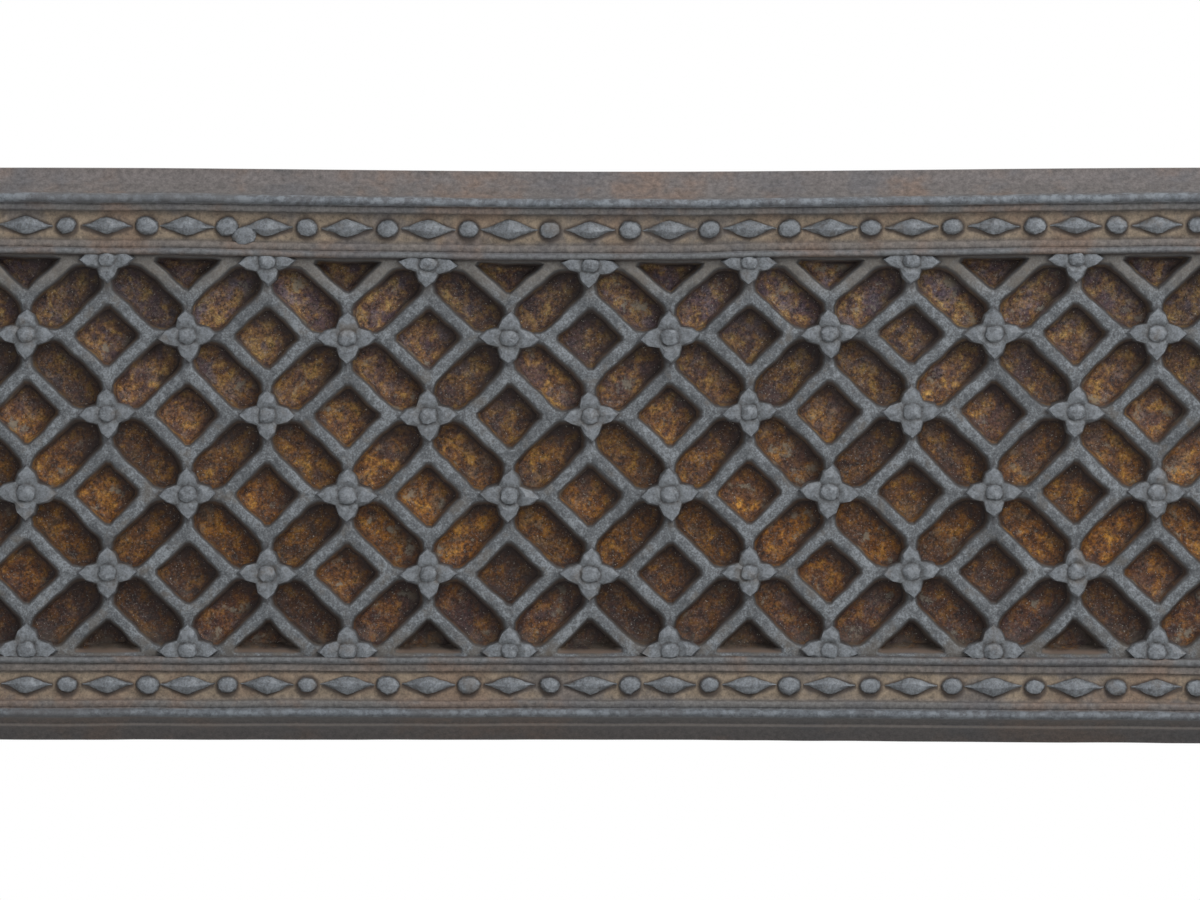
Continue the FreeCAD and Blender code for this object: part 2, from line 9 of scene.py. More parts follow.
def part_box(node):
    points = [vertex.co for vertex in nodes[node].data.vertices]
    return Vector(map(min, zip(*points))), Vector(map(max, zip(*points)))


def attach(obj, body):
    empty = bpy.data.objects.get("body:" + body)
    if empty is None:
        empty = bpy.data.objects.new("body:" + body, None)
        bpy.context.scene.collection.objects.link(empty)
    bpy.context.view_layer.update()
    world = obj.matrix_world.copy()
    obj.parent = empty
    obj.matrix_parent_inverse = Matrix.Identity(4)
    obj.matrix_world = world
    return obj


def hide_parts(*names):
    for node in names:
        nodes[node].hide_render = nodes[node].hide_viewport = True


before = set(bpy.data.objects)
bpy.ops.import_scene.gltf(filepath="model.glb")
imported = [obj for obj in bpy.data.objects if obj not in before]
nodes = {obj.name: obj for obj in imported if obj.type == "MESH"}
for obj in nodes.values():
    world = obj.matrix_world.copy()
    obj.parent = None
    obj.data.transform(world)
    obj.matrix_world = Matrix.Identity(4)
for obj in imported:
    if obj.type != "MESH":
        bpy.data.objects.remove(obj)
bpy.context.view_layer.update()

scene = bpy.context.scene
mm = 0.001

# Strip coordinates in mm: u along a panel, v inwards from its outer edge, h forwards from its back
lintelLow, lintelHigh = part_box("lintel_panel")
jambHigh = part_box("right_jamb_panel")[1]
panel = {
    "top": lintelHigh.z / mm,
    "half": jambHigh.x / mm,
    "width": (lintelHigh.z - lintelLow.z) / mm,
    "back": lintelHigh.y / mm,
    "mitreGap": 0.4,
}
mitreEnd = panel["half"] - panel["mitreGap"] / math.sqrt(2)
footEnd = panel["half"] - panel["top"]
halfRoot = math.sqrt(0.5)


def onLintel(u, v, h):
    return np.stack([u, panel["back"] - h, panel["top"] - v], axis=-1) * mm


def onRightJamb(u, v, h):
    return np.stack([panel["half"] - v, panel["back"] - h, u - footEnd], axis=-1) * mm


def onLeftJamb(u, v, h):
    return onRightJamb(u, v, h) * np.array([-1.0, 1.0, 1.0])


castings = {
    "lintel": {"node": "lintel_panel", "place": onLintel, "isJamb": False, "stations": 200, "seed": 11},
    "right_jamb": {"node": "right_jamb_panel", "place": onRightJamb, "isJamb": True, "stations": 150,
                   "seed": 23},
    "left_jamb": {"node": "left_jamb_panel", "place": onLeftJamb, "isJamb": True, "stations": 150,
                  "seed": 37},
}
ripples = {"waves": 7, "shortest": 0.6, "longest": 1.7, "level": 2.6}


# Smooth unevenness of about -1 to 1, the same at each run
def ripple(u, v, length, seed):
    dice = np.random.default_rng(seed)
    total = np.zeros(np.shape(u))
    for wave in range(ripples["waves"]):
        angle = dice.uniform(0, 2 * math.pi)
        stretch = 2 * math.pi / (length * dice.uniform(ripples["shortest"], ripples["longest"]))
        start = dice.uniform(0, 2 * math.pi)
        total += np.sin((u * math.cos(angle) + v * math.sin(angle)) * stretch + start)
    return total / ripples["level"]


# The lintel's pattern is uneven, as in the photograph: its lines sag near the middle, drop left of it and
# tilt at the right, and slide sideways
sag = {"middle": 15.0, "reach": 212.0, "across": [0, 11, 13, 14.5, 20, 24.3, 28.5, 45, 60],
       "depth": [1.4, 2.4, 1.85, 1.9, 1.3, 1.6, 1.85, 0.8, 0.0]}
slide = [0, 0.6, 0.7, -0.1, 0.15, -0.3, -0.75, -1.0, -0.5, 0.45, 0.4, 0]
stations = [-290, -212, -168, -84, 0, 28, 56, 84, 112, 168, 212, 290]
strays = {
    "steady": {"along": [0, 1, 1, 1, 1, 1, 1, 1, 1, 1, 1, 0],
               "across": [0, 11, 14.5, 20, 24.3, 28.5, 45, 59, 86, 113, 140, 167, 171, 179, 184.5, 187.6,
                          198.5],
               "share": [0.15, -0.5, -0.5, 0.3, 0.4, 0.1, -0.6, -1.0, -0.95, -0.15, 0.4, 0.4, 0.5, 0.4, 1.6,
                         1.45, 0.55]},
    "drop": {"along": [0, 0.2, 0.6, 1.4, 1.5, 1.0, 0.1, 0, 0, 0, 0, 0],
             "across": [14.5, 20, 24.3, 45, 59, 86, 113, 140, 167, 173, 198.5],
             "share": [0, 0.3, 0.5, 0.6, 1.1, 1.0, 0.85, 0.55, 0.3, 0.2, 0]},
    "tilt": {"along": [0, 0, 0, 0, 0, 0, 0.2, 0.45, 0.65, 1.0, 1.25, 0],
             "across": [140, 167, 171, 198.5], "share": [0, 0.6, 1, 1]},
}


# Passes through the given values without a kink
def eased(place, places, values):
    low = np.clip(np.searchsorted(places, place) - 1, 0, len(places) - 2)
    places = np.asarray(places, float)
    values = np.asarray(values, float)
    share = np.clip((place - places[low]) / (places[low + 1] - places[low]), 0, 1)
    return values[low] + (values[low + 1] - values[low]) * (3 - 2 * share) * share * share


def uneven(u, v, isJamb):
    if isJamb:
        return u, v
    along = np.clip(np.abs(u - sag["middle"]) / sag["reach"], 0, 1)
    newV = v + np.cos(along * math.pi / 2) ** 2 * np.interp(v, sag["across"], sag["depth"])
    for stray in strays.values():
        newV += eased(u, stations, stray["along"]) * np.interp(v, stray["across"], stray["share"])
    return u + eased(u, stations, slide), newV


def toWorld(casting, u, v, h):
    newU, newV = uneven(u, v, casting["isJamb"])
    return casting["place"](newU, newV, h)


def newPiece(name, mesh):
    piece = bpy.data.objects.new(name, mesh)
    scene.collection.objects.link(piece)
    return piece


# Degrees at which an edge stays sharp, and metres within which points are merged or slivers dropped
sharpFrom = {"relief": 42, "ornament": 28, "rounded": 35, "heads": 32, "pulls": 40}
weldWithin = {"relief": 0.000002, "ornament": 0.00002, "rounded": 0.00001}


def smoothed(mesh, kind):
    mesh.shade_smooth()
    mesh.set_sharp_from_angle(angle=math.radians(sharpFrom[kind]))


# Turns all faces outwards after merging doubles or dropping slivers, and counts the open edges
def outward(mesh, merge=0.0, sliver=0.0):
    edit = bmesh.new()
    edit.from_mesh(mesh)
    if merge > 0:
        bmesh.ops.remove_doubles(edit, verts=edit.verts, dist=merge)
    if sliver > 0:
        bmesh.ops.dissolve_degenerate(edit, edges=edit.edges, dist=sliver)
    bmesh.ops.recalc_face_normals(edit, faces=edit.faces)
    openEdges = sum(1 for line in edit.edges if not line.is_manifold)
    edit.to_mesh(mesh)
    edit.free()
    return openEdges


# Plain mesh of an object with its modifiers worked in
def applied(holder):
    bpy.context.view_layer.update()
    made = bpy.data.meshes.new_from_object(holder.evaluated_get(bpy.context.evaluated_depsgraph_get()))
    bpy.data.objects.remove(holder)
    return made


def readSpots(mesh):
    spots = np.empty(len(mesh.vertices) * 3)
    mesh.vertices.foreach_get("co", spots)
    return spots.reshape(-1, 3)


def writeSpots(mesh, spots):
    mesh.vertices.foreach_set("co", spots.astype(np.float32).ravel())


def fullTurn(steps):
    return [step * 2 * math.pi / steps for step in range(steps)]


# Colours are written as they are seen on a screen, 0 to 255
def shade(red, green, blue):
    linear = []
    for level in (red, green, blue):
        share = level / 255
        linear.append(share / 12.92 if share <= 0.04045 else ((share + 0.055) / 1.055) ** 2.4)
    return (*linear, 1.0)


# A socket to reckon with: each sum adds its node to the tree
class Lead:
    def __init__(self, tree, socket=None):
        self.tree = tree
        self.socket = socket

    def node(self, kind, settings, sockets, out=0):
        made = self.tree.nodes.new(kind)
        for name, value in settings.items():
            if name == "stops":
                while len(made.color_ramp.elements) > 1:
                    made.color_ramp.elements.remove(made.color_ramp.elements[-1])
                made.color_ramp.elements[0].position = value[0][0]
                made.color_ramp.elements[0].color = value[0][1]
                for position, colour in value[1:]:
                    made.color_ramp.elements.new(position).color = colour
            else:
                setattr(made, name, value)
        for name, value in sockets.items():
            if isinstance(value, Lead):
                self.tree.links.new(value.socket, made.inputs[name])
            else:
                made.inputs[name].default_value = value
        return Lead(self.tree, made.outputs[out] if len(made.outputs) else None)

    def reckon(self, operation, first, second=0.0):
        return self.node("ShaderNodeMath", {"operation": operation}, {0: first, 1: second})

    def __add__(self, other):
        return self.reckon("ADD", self, other)

    def __radd__(self, other):
        return self.reckon("ADD", other, self)

    def __sub__(self, other):
        return self.reckon("SUBTRACT", self, other)

    def __rsub__(self, other):
        return self.reckon("SUBTRACT", other, self)

    def __mul__(self, other):
        return self.reckon("MULTIPLY", self, other)

    def __rmul__(self, other):
        return self.reckon("MULTIPLY", other, self)

    def __truediv__(self, other):
        return self.reckon("DIVIDE", self, other)

    def __abs__(self):
        return self.reckon("ABSOLUTE", self)


def newFinish(name):
    finish = bpy.data.materials.new(name)
    finish.use_nodes = True
    finish.node_tree.nodes.clear()
    return finish, Lead(finish.node_tree)


def objectPlace(start):
    return start.node("ShaderNodeTexCoord", {}, {}, 3)


def attribute(start, name):
    return start.node("ShaderNodeAttribute", {"attribute_name": name}, {}, 2)


def noise(place, scale, detail=2.0, roughness=0.5, distortion=0.0):
    return place.node("ShaderNodeTexNoise", {}, {"Vector": place, "Scale": scale, "Detail": detail,
                                                 "Roughness": roughness, "Distortion": distortion})


def between(value, low, high):
    return value.node("ShaderNodeMapRange", {"interpolation_type": "SMOOTHSTEP"},
                      {"Value": value, "From Min": low, "From Max": high})


# Patches of a noise, given where they begin, where they are full and how strong they are
def patches(place, scale, detail, roughness, low, high, strength):
    return between(noise(place, scale, detail, roughness), low, high) * strength


def varied(value, gain, offset):
    return value * gain + offset


def ramp(value, stops):
    return value.node("ShaderNodeValToRGB", {"stops": stops}, {"Fac": value})


def mixed(factor, first, second, way="MIX"):
    lead = next(given for given in (factor, first, second) if isinstance(given, Lead))
    return lead.node("ShaderNodeMix", {"data_type": "RGBA", "blend_type": way},
                     {0: factor, 6: first, 7: second}, 2)


def dimmed(colour, factor):
    return colour.node("ShaderNodeVectorMath", {"operation": "SCALE"}, {0: colour, "Scale": factor})


def closeFinish(start, colour, roughness, metallic, height, depth, strength):
    bump = start.node("ShaderNodeBump", {}, {"Strength": strength, "Distance": depth, "Height": height})
    surface = start.node("ShaderNodeBsdfPrincipled", {}, {"Base Color": colour, "Roughness": roughness,
                                                          "Metallic": metallic, "Normal": bump})
    start.node("ShaderNodeOutputMaterial", {}, {"Surface": surface})


# Lattice of bars, diamonds and long pockets between two borders
lattice = {
    "pitchU": 28.0, "pitchV": 27.1, "rows": 5, "firstRow": 31.5, "border": 29.75, "fieldHeight": 22.0,
    "beadLine": 19.8, "barWidth": 3.6, "diamondHalf": 8.75, "neckHalf": 1.3, "notch": 3.5,
    "rim": 0.6, "mitreRib": 6.0, "footRib": 12.0, "depth": 7.2,
}
# Marks on its points: depth in a pocket, way in over the floor, the pocket's tone, and the wall's side
# towards the light, which paints lit and shaded walls
reliefMarks = ("sink", "rim", "tone", "ledge")
uvScale = 0.01

# Relief casting: grey sand-cast bars, rusty pockets and tan recesses in the mouldings
castIron = {
    "barStops": [(0.39, shade(74, 77, 81)), (0.5, shade(107, 111, 115)), (0.61, shade(150, 156, 162))],
    # corner is dirt with painted shade: the floor's corners, round the rosettes, under the lips and round the
    # beads and lozenges
    "stain": shade(102, 93, 82), "dustyBar": shade(122, 113, 102), "corner": shade(44, 34, 34),
    # top and foot of the walls at a pocket's upper right, then at its lower left: painted light and shade,
    # lighter where the walls lie in shade, darker on the lit side and towards the foot
    "shadedSideWalls": (shade(106, 106, 107), shade(84, 77, 74)),
    "litSideWalls": (shade(82, 81, 81), shade(72, 64, 58)),
    "floorStops": [(0.36, shade(60, 40, 36)), (0.46, shade(102, 70, 48)), (0.54, shade(138, 98, 54)),
                   (0.65, shade(172, 134, 72))],
    "rowTints": [(0.2, (0.92, 1.08, 1.55, 1)), (0.36, (0.98, 1.04, 1.17, 1)), (0.5, (1.04, 0.96, 0.79, 1)),
                 (0.63, (0.95, 0.78, 0.42, 1)), (0.77, (0.56, 0.48, 0.5, 1))],
    "greyFloor": shade(112, 100, 98), "plumFloor": shade(78, 58, 58), "dust": shade(150, 146, 142),
    "speck": shade(196, 190, 180), "scrub": shade(164, 158, 142), "slope": shade(116, 98, 86),
    "rustPatch": shade(134, 108, 90), "greyPatch": shade(100, 100, 104), "crestLight": shade(156, 164, 172),
    "dullTorus": shade(100, 98, 98), "undersideShade": shade(56, 55, 56), "lowLedgeHighlight": shade(150, 143, 138),
    # from the strip's edge to the field; the last dark stop at the lip's inner foot is painted shade, and the
    # band's tan just inside the outer step is made lighter as painted light against the step's shadow
    "borderStops": [(0.0, shade(112, 105, 103)), (0.1, shade(116, 110, 109)), (0.29, shade(111, 106, 104)),
                    (0.315, shade(96, 95, 96)), (0.335, shade(107, 113, 120)), (0.405, shade(107, 113, 120)),
                    (0.424, shade(116, 117, 119)), (0.44, shade(118, 118, 119)),
                    (0.458, shade(116, 114, 113)), (0.498, shade(114, 112, 111)),
                    (0.514, shade(114, 108, 103)), (0.535, shade(144, 131, 117)),
                    (0.57, shade(146, 131, 113)), (0.78, shade(148, 133, 115)),
                    (0.812, shade(122, 114, 106)), (0.83, shade(124, 117, 112)),
                    (0.895, shade(122, 116, 112)), (0.912, shade(114, 111, 110)),
                    (0.93, shade(116, 118, 121)), (0.975, shade(112, 114, 116)), (1.0, shade(76, 71, 70))],
    # where a look begins and is full, in mm from the strip's upper edge
    "dustyRows": (35, 47), "rustyRows": (156, 168), "shelfRows": (183, 185.5),
    "undersideRows": (187.4, 189.4),
    # the same in mm from the nearer edge, or from a line on it
    "fieldFrom": (29.6, 29.85), "lipFoot": (29.8, 30.9), "slopeEnd": (31.4, 32.6),
    "torusLine": 10.9, "torusSide": (1.4, 2.0), "filletLine": 6.15, "filletSide": (0.4, 0.8),
    "filletLight": (0.2, 0.65), "starFoot": (0.2, 1.5),
    # the same as a share of a pocket's depth
    "wallFrom": (0.01, 0.14), "wallFoot": (0.15, 0.65), "wallRust": (0.18, 0.55), "floorFrom": (0.8, 0.92),
    "slopeFrom": (0.05, 0.2), "speckFrom": (0.6, 0.9),
    # how strong a look is
    "starDirtAndShade": 0.38, "lipShadow": 0.75, "tan": 0.8, "undersideDark": 0.52, "shelfDark": 0.14,
    "ledgeHighlight": 0.55, "rustDark": 0.74,
    # gain and offset of what varies over the surface
    "barDust": (0.8, 0.15), "floorGrit": (4.8, -1.34), "floorTone": (0.7, 0.61), "wallGrain": (1.6, 0.2),
    "wallRusty": (0.6, 0.25), "borderGrain": (1.7, -0.35), "roughness": (0.25, 0.5),
    # scales of the noises, and the bumps
    "grain": 1600.0, "midGrain": 560.0, "cloud": 62.0, "grit": 1000.0, "rustGrain": 230.0,
    "bumpDepth": 0.00035, "bumpStrength": 0.55,
}

# Its patches: scale, detail, roughness, begin, full, strength
ironPatches = {
    "stain": (120, 4, 0.6, 0.54, 0.7, 0.5), "lowRust": (170, 3, 0.6, 0.38, 0.6, 0.6),
    "greyFloor": (150, 4, 0.65, 0.5, 0.68, 0.6), "plumFloor": (105, 4, 0.65, 0.5, 0.62, 0.75),
    "dust": (1300, 2, 0.6, 0.52, 0.72, 0.35), "scrub": (140, 5, 0.7, 0.57, 0.66, 0.65),
    "speck": (1500, 2, 0.6, 0.66, 0.72, 0.7), "rustPatch": (34, 5, 0.6, 0.48, 0.64, 0.5),
    "greyPatch": (47, 4, 0.6, 0.5, 0.66, 0.6), "crestLight": (270, 5, 0.7, 0.45, 0.62, 0.65),
    "dullTorus": (15, 3, 0.5, 0.46, 0.62, 0.5),
}

# Outline of a rosette's star, and of the dirt and painted shade round beads and lozenges, set a little low
# where their shadow falls, in mm
star = {"slant": 0.63, "reach": 6.3}
grimeAndShade = {"lower": 0.3, "lozengeHalf": 2.9, "lozengeTaper": 0.31, "lozengeReach": (0.1, 1.3),
         "lozengeEnd": (8.8, 9.8), "beadStretch": 0.72, "beadRadius": 3.0, "beadReach": (0.0, 1.4),
         "strength": 0.8}


# Rough distance outside a rosette's star from its middle, across and along
def starSide(across, along):
    least = across.reckon("MINIMUM", across, along)
    most = across.reckon("MAXIMUM", across, along)
    return least + most * star["slant"] - star["reach"]


def grimeAndShadeMask(u, v, lowHalf):
    toLozenge = u.reckon("PINGPONG", u, lattice["pitchU"] / 2)
    toBead = lattice["pitchU"] / 2 - toLozenge
    lowLine = lowHalf * (panel["width"] - 2 * lattice["beadLine"])
    across = abs(v - lowLine - (lattice["beadLine"] + grimeAndShade["lower"]))
    halfWidth = u.reckon("MAXIMUM", grimeAndShade["lozengeHalf"] - toLozenge * grimeAndShade["lozengeTaper"], 0.0)
    fromBead = u.reckon("SQRT", toBead * toBead * grimeAndShade["beadStretch"] + across * across)
    nearLozenge = 1 - between(across - halfWidth, *grimeAndShade["lozengeReach"])
    nearLozenge = nearLozenge * (1 - between(toLozenge, *grimeAndShade["lozengeEnd"]))
    nearBead = 1 - between(fromBead - grimeAndShade["beadRadius"], *grimeAndShade["beadReach"])
    return u.reckon("MAXIMUM", nearLozenge, nearBead) * grimeAndShade["strength"]


def castIronFinish():
    finish, start = newFinish("sandCastIron")
    look = castIron
    place = objectPlace(start)
    strip = start.node("ShaderNodeUVMap", {"uv_map": "strip"}, {})
    u, v = [start.node("ShaderNodeSeparateXYZ", {}, {0: strip}, way) * (1 / uvScale) for way in (0, 1)]
    edge = start.reckon("MINIMUM", v, panel["width"] - v)
    lowHalf = between(v, panel["width"] / 2 - 1, panel["width"] / 2 + 1)
    sink, rim, tone, ledge = [attribute(start, name) for name in reliefMarks]
    patch = {name: patches(place, *given) for name, given in ironPatches.items()}

    fine = noise(place, look["grain"], 2, 0.6)
    middle = noise(place, look["midGrain"], 3, 0.55)
    cloud = noise(place, look["cloud"], 4, 0.55)
    grain = fine * 0.4 + middle * 0.35 + cloud * 0.25
    bar = mixed(patch["stain"], ramp(grain, look["barStops"]), look["stain"])
    dusty = (1 - between(v, *look["dustyRows"])) * varied(middle, *look["barDust"])
    bar = mixed(dusty, bar, look["dustyBar"])

    gritty = noise(place, look["grit"], 3, 0.7)
    floor = ramp(noise(place, look["rustGrain"], 5, 0.68, 0.4), look["floorStops"])
    for name in ("greyFloor", "plumFloor"):
        floor = mixed(patch[name], floor, look[name])
    floor = dimmed(floor, varied(gritty, *look["floorGrit"]))
    floor = mixed(1.0, floor, ramp(v / panel["width"], look["rowTints"]), "MULTIPLY")
    floor = dimmed(floor, varied(tone, *look["floorTone"]))
    floor = mixed(patch["dust"], floor, look["dust"])
    floor = mixed(patch["scrub"] * between(tone, 0.15, 0.6), floor, look["scrub"])
    rust = dimmed(floor, look["rustDark"])
    # painted shade in the floor's corners, widest and darkest at the upper right where the shadow falls,
    # together with dirt
    shaded = 1 - between(rim, 0.08 - ledge * 0.08, 1.1 - ledge * 0.7)
    floor = mixed(shaded * (1 - ledge * 0.7), floor, look["corner"])

    # walls painted lighter on their shaded side, and darker on their lit side and towards the foot
    walls = [mixed(ledge, grey, rusty) for grey, rusty in zip(look["shadedSideWalls"], look["litSideWalls"])]
    wall = mixed(between(sink, *look["wallFoot"]), *walls)
    wall = dimmed(wall, varied(grain, *look["wallGrain"]))
    wall = mixed(between(sink, *look["wallRust"]) * varied(ledge, *look["wallRusty"]), wall, rust)
    field = mixed(between(sink, *look["wallFrom"]), bar, wall)
    field = mixed(between(sink, *look["floorFrom"]), field, floor)
    field = mixed(between(v, *look["rustyRows"]) * patch["lowRust"], field, look["stain"])

    # dirt and painted shade round the rosettes, painted shadow under the lips, and the tan slope down to the
    # lower lip
    evenU = start.reckon("PINGPONG", u, lattice["pitchU"])
    evenV = start.reckon("PINGPONG", v - lattice["firstRow"], lattice["pitchV"])
    offStar = start.reckon("MINIMUM", starSide(evenU, evenV),
                           starSide(lattice["pitchU"] - evenU, lattice["pitchV"] - evenV))
    field = mixed((1 - between(offStar, *look["starFoot"])) * look["starDirtAndShade"], field, look["corner"])
    lipShade = (1 - between(edge, *look["lipFoot"])) * look["lipShadow"]
    field = mixed(lipShade * (1 - lowHalf * look["tan"]), field, look["corner"])
    tanned = lowHalf * (1 - between(edge, *look["slopeEnd"])) * between(sink, *look["slopeFrom"])
    field = mixed(tanned * look["tan"] * (middle + 0.5), field, look["slope"])

    border = ramp(edge / lattice["border"], look["borderStops"])
    offTorus = between(abs(edge - look["torusLine"]), *look["torusSide"])
    border = mixed(patch["rustPatch"] * (offTorus * 0.9 + 0.1), border, look["rustPatch"])
    border = mixed(patch["greyPatch"], border, look["greyPatch"])
    border = dimmed(border, fine + varied(middle, *look["borderGrain"]))
    for name in ("crestLight", "dullTorus"):
        border = mixed(patch[name] * (1 - offTorus), border, look[name])
    # painted shade on the lower border, which faces down, with a painted highlight along its small ledge
    under = between(v, *look["undersideRows"])
    offFillet = abs(edge - look["filletLine"])
    darkUnder = under * between(offFillet, *look["filletSide"]) * look["undersideDark"]
    border = mixed(darkUnder, border, look["undersideShade"])
    border = dimmed(border, 1 - between(v, *look["shelfRows"]) * look["shelfDark"])
    lightUnder = under * (1 - between(offFillet, *look["filletLight"])) * look["ledgeHighlight"]
    border = mixed(lightUnder, border, look["lowLedgeHighlight"])
    # dirt and painted shade round the beads and lozenges
    border = mixed(grimeAndShadeMask(u, v, lowHalf), border, look["corner"])

    colour = mixed(between(edge, *look["fieldFrom"]), border, field)
    colour = mixed(patch["speck"] * between(sink, *look["speckFrom"]), colour, look["speck"])
    height = fine * 0.35 + middle * 0.65 + gritty * sink * 1.5
    roughness = varied(middle, *look["roughness"]) + sink * 0.12
    closeFinish(start, colour, roughness, 0.0, height, look["bumpDepth"], look["bumpStrength"])
    return finish


# Rosettes, beads and lozenges: worn blue-grey crests, with dirt and painted shade at their feet and in their
# creases
ornamentIron = {
    "stops": [(0.0, shade(54, 49, 48)), (0.25, shade(88, 87, 88)), (0.55, shade(110, 114, 118)),
              (1.0, shade(124, 129, 135))],
    "light": shade(164, 171, 178), "worn": (420, 3, 0.7, 0.54, 0.7, 0.45),
    "stain": shade(106, 92, 76), "stained": (90, 4, 0.6, 0.54, 0.7, 0.4),
    # gain and offset
    "crestGrain": (2.9, -0.45), "roughness": (-0.16, 0.66),
    "bumpDepth": 0.0003, "bumpStrength": 0.5,
}


def ornamentFinish():
    finish, start = newFinish("wornReliefIron")
    look = ornamentIron
    place = objectPlace(start)
    crest = attribute(start, "crest")
    fine = noise(place, castIron["grain"], 2, 0.6)
    middle = noise(place, castIron["midGrain"], 3, 0.55)
    colour = ramp(crest + (middle - 0.5) * 0.5, look["stops"])
    colour = dimmed(colour, varied(fine * 0.5 + middle * 0.5, *look["crestGrain"]))
    colour = mixed(patches(place, *look["worn"]) * crest, colour, look["light"])
    colour = mixed(patches(place, *look["stained"]), colour, look["stain"])
    closeFinish(start, colour, varied(crest, *look["roughness"]), 0.0, fine * 0.4 + middle * 0.6,
                look["bumpDepth"], look["bumpStrength"])
    return finish


# Plain iron behind the relief, each kind with its own clean colour and rust; rolled sheet has a drawn grain
plainIrons = {
    "castingBackIron": {"clean": shade(88, 84, 82), "dark": shade(58, 52, 50), "rust": shade(112, 76, 50),
                        "rustFrom": 0.46, "roughness": 0.72, "metallic": 0.0, "grain": 900.0},
    "guideIron": {"clean": shade(84, 84, 86), "dark": shade(56, 54, 54), "rust": shade(104, 72, 52),
                  "rustFrom": 0.53, "roughness": 0.6, "metallic": 0.25, "grain": 800.0},
    "strapIron": {"clean": shade(98, 96, 95), "dark": shade(64, 60, 58), "rust": shade(118, 80, 54),
                  "rustFrom": 0.5, "roughness": 0.58, "metallic": 0.3, "grain": 700.0},
    "fastenerSteel": {"clean": shade(112, 110, 108), "dark": shade(70, 66, 64), "rust": shade(120, 82, 56),
                      "rustFrom": 0.54, "roughness": 0.5, "metallic": 0.45, "grain": 1100.0},
    "sheetIron": {"clean": shade(72, 74, 78), "dark": shade(46, 46, 49), "rust": shade(92, 70, 56),
                  "rustFrom": 0.57, "roughness": 0.52, "metallic": 0.3, "grain": 500.0, "drawn": 0.12},
    "knobIron": {"clean": shade(92, 93, 96), "dark": shade(58, 57, 58), "rust": shade(100, 78, 60),
                 "rustFrom": 0.6, "roughness": 0.42, "metallic": 0.4, "grain": 900.0},
}
plainSkin = {"cloud": 26.0, "pits": 210.0, "rustFade": 0.13, "bumpDepth": 0.0003, "bumpStrength": 0.4}


def plainIronFinish(name):
    finish, start = newFinish(name)
    look = plainIrons[name]
    place = objectPlace(start)
    drawn = start.node("ShaderNodeMapping", {},
                       {"Vector": place, "Scale": (1.0, 1.0, look.get("drawn", 1.0))})
    fine = noise(drawn, look["grain"], 3, 0.6)
    cloud = noise(place, plainSkin["cloud"], 5, 0.6)
    pits = noise(place, plainSkin["pits"], 4, 0.62)
    colour = ramp(fine * 0.45 + cloud * 0.55, [(0.36, look["dark"]), (0.5, look["clean"])])
    rust = between(cloud * 0.6 + pits * 0.4, look["rustFrom"], look["rustFrom"] + plainSkin["rustFade"])
    colour = mixed(rust * (0.35 + fine * 0.7), colour, look["rust"])
    roughness = look["roughness"] + rust * 0.2 + (fine - 0.5) * 0.2
    metallic = look["metallic"] * (1 - rust)
    closeFinish(start, colour, roughness, metallic, fine * 0.5 + pits * 0.5, plainSkin["bumpDepth"],
                plainSkin["bumpStrength"])
    return finish


reliefFinish = castIronFinish()
crestFinish = ornamentFinish()
plainFinishes = {name: plainIronFinish(name) for name in plainIrons}
print("finishes made:", 2 + len(plainFinishes))


# Keeps the side of a convex outline that reaches no further along the normal than the limit
def clipped(outline, normalU, normalV, limit):
    kept = []
    for (u, v), (nextU, nextV) in zip(outline, outline[1:] + outline[:1]):
        over = normalU * u + normalV * v - limit
        nextOver = normalU * nextU + normalV * nextV - limit
        if over <= 0:
            kept.append((u, v))
        if over * nextOver < 0:
            share = over / (over - nextOver)
            kept.append((u + share * (nextU - u), v + share * (nextV - v)))
    return kept


def squareAt(u, v, half):
    return [(u - half, v - half), (u + half, v - half), (u + half, v + half), (u - half, v + half)]


# A lintel is mitred at both ends, a jamb at its upper end only
def panelArea(isJamb, edgeInset, mitreInset, footInset):
    reach = mitreEnd * halfRoot - mitreInset
    area = squareAt(0, panel["width"] / 2, 2 * panel["half"])
    area = clipped(area, 0, -1, -edgeInset)
    area = clipped(area, 0, 1, panel["width"] - edgeInset)
    area = clipped(area, halfRoot, halfRoot, reach)
    if isJamb:
        return clipped(area, -1, 0, -footEnd - footInset)
    return clipped(area, -halfRoot, halfRoot, reach)


def insideArea(area, u, v, margin):
    for (firstU, firstV), (nextU, nextV) in zip(area, area[1:] + area[:1]):
        runU = nextU - firstU
        runV = nextV - firstV
        if ((v - firstV) * runU - (u - firstU) * runV) / math.hypot(runU, runV) < margin:
            return False
    return True


# Pockets: rings as inset from the outline, depth, how square the corners are and how far in from the wall,
# where the floor's dirt and painted shade fade
pocket = {
    "rings": [(-0.55, 0.0, 30, 0), (-0.15, 0.15, 30, 0), (0.15, 0.6, 28, 0), (0.5, 1.7, 22, 0),
              (0.9, 3.5, 17, 0), (1.25, 5.4, 14, 0), (1.65, 6.5, 12, 0.1), (2.4, 6.95, 10, 0.35)],
    "outerDraft": 0.9, "innerDraft": 2.1, "diamondSteps": 28, "longSteps": 34, "smallest": 1.3,
    "insetShare": 0.72, "leastReach": 0.22, "shallow": 0.55, "deepening": 9.0, "lean": 0.55,
    "dish": 0.1, "dishShare": 0.5, "dishFromWall": 0.85,
}
columns = range(-18, 19)
latticeLength = math.hypot(lattice["pitchU"], lattice["pitchV"])


def latticePlace(column, row):
    return column * lattice["pitchU"], lattice["firstRow"] + row * lattice["pitchV"]


def isRosette(column, row):
    return (column + row) % 2 == 0


def diamondOutline(column, row):
    u, v = latticePlace(column, row)
    outline = squareAt(u, v, lattice["pitchU"])
    for wayU, wayV in ((1, 1), (1, -1), (-1, 1), (-1, -1)):
        normalU = wayU * lattice["pitchV"] / latticeLength
        normalV = wayV * lattice["pitchU"] / latticeLength
        outline = clipped(outline, normalU, normalV, normalU * u + normalV * v + lattice["diamondHalf"])
    return outline


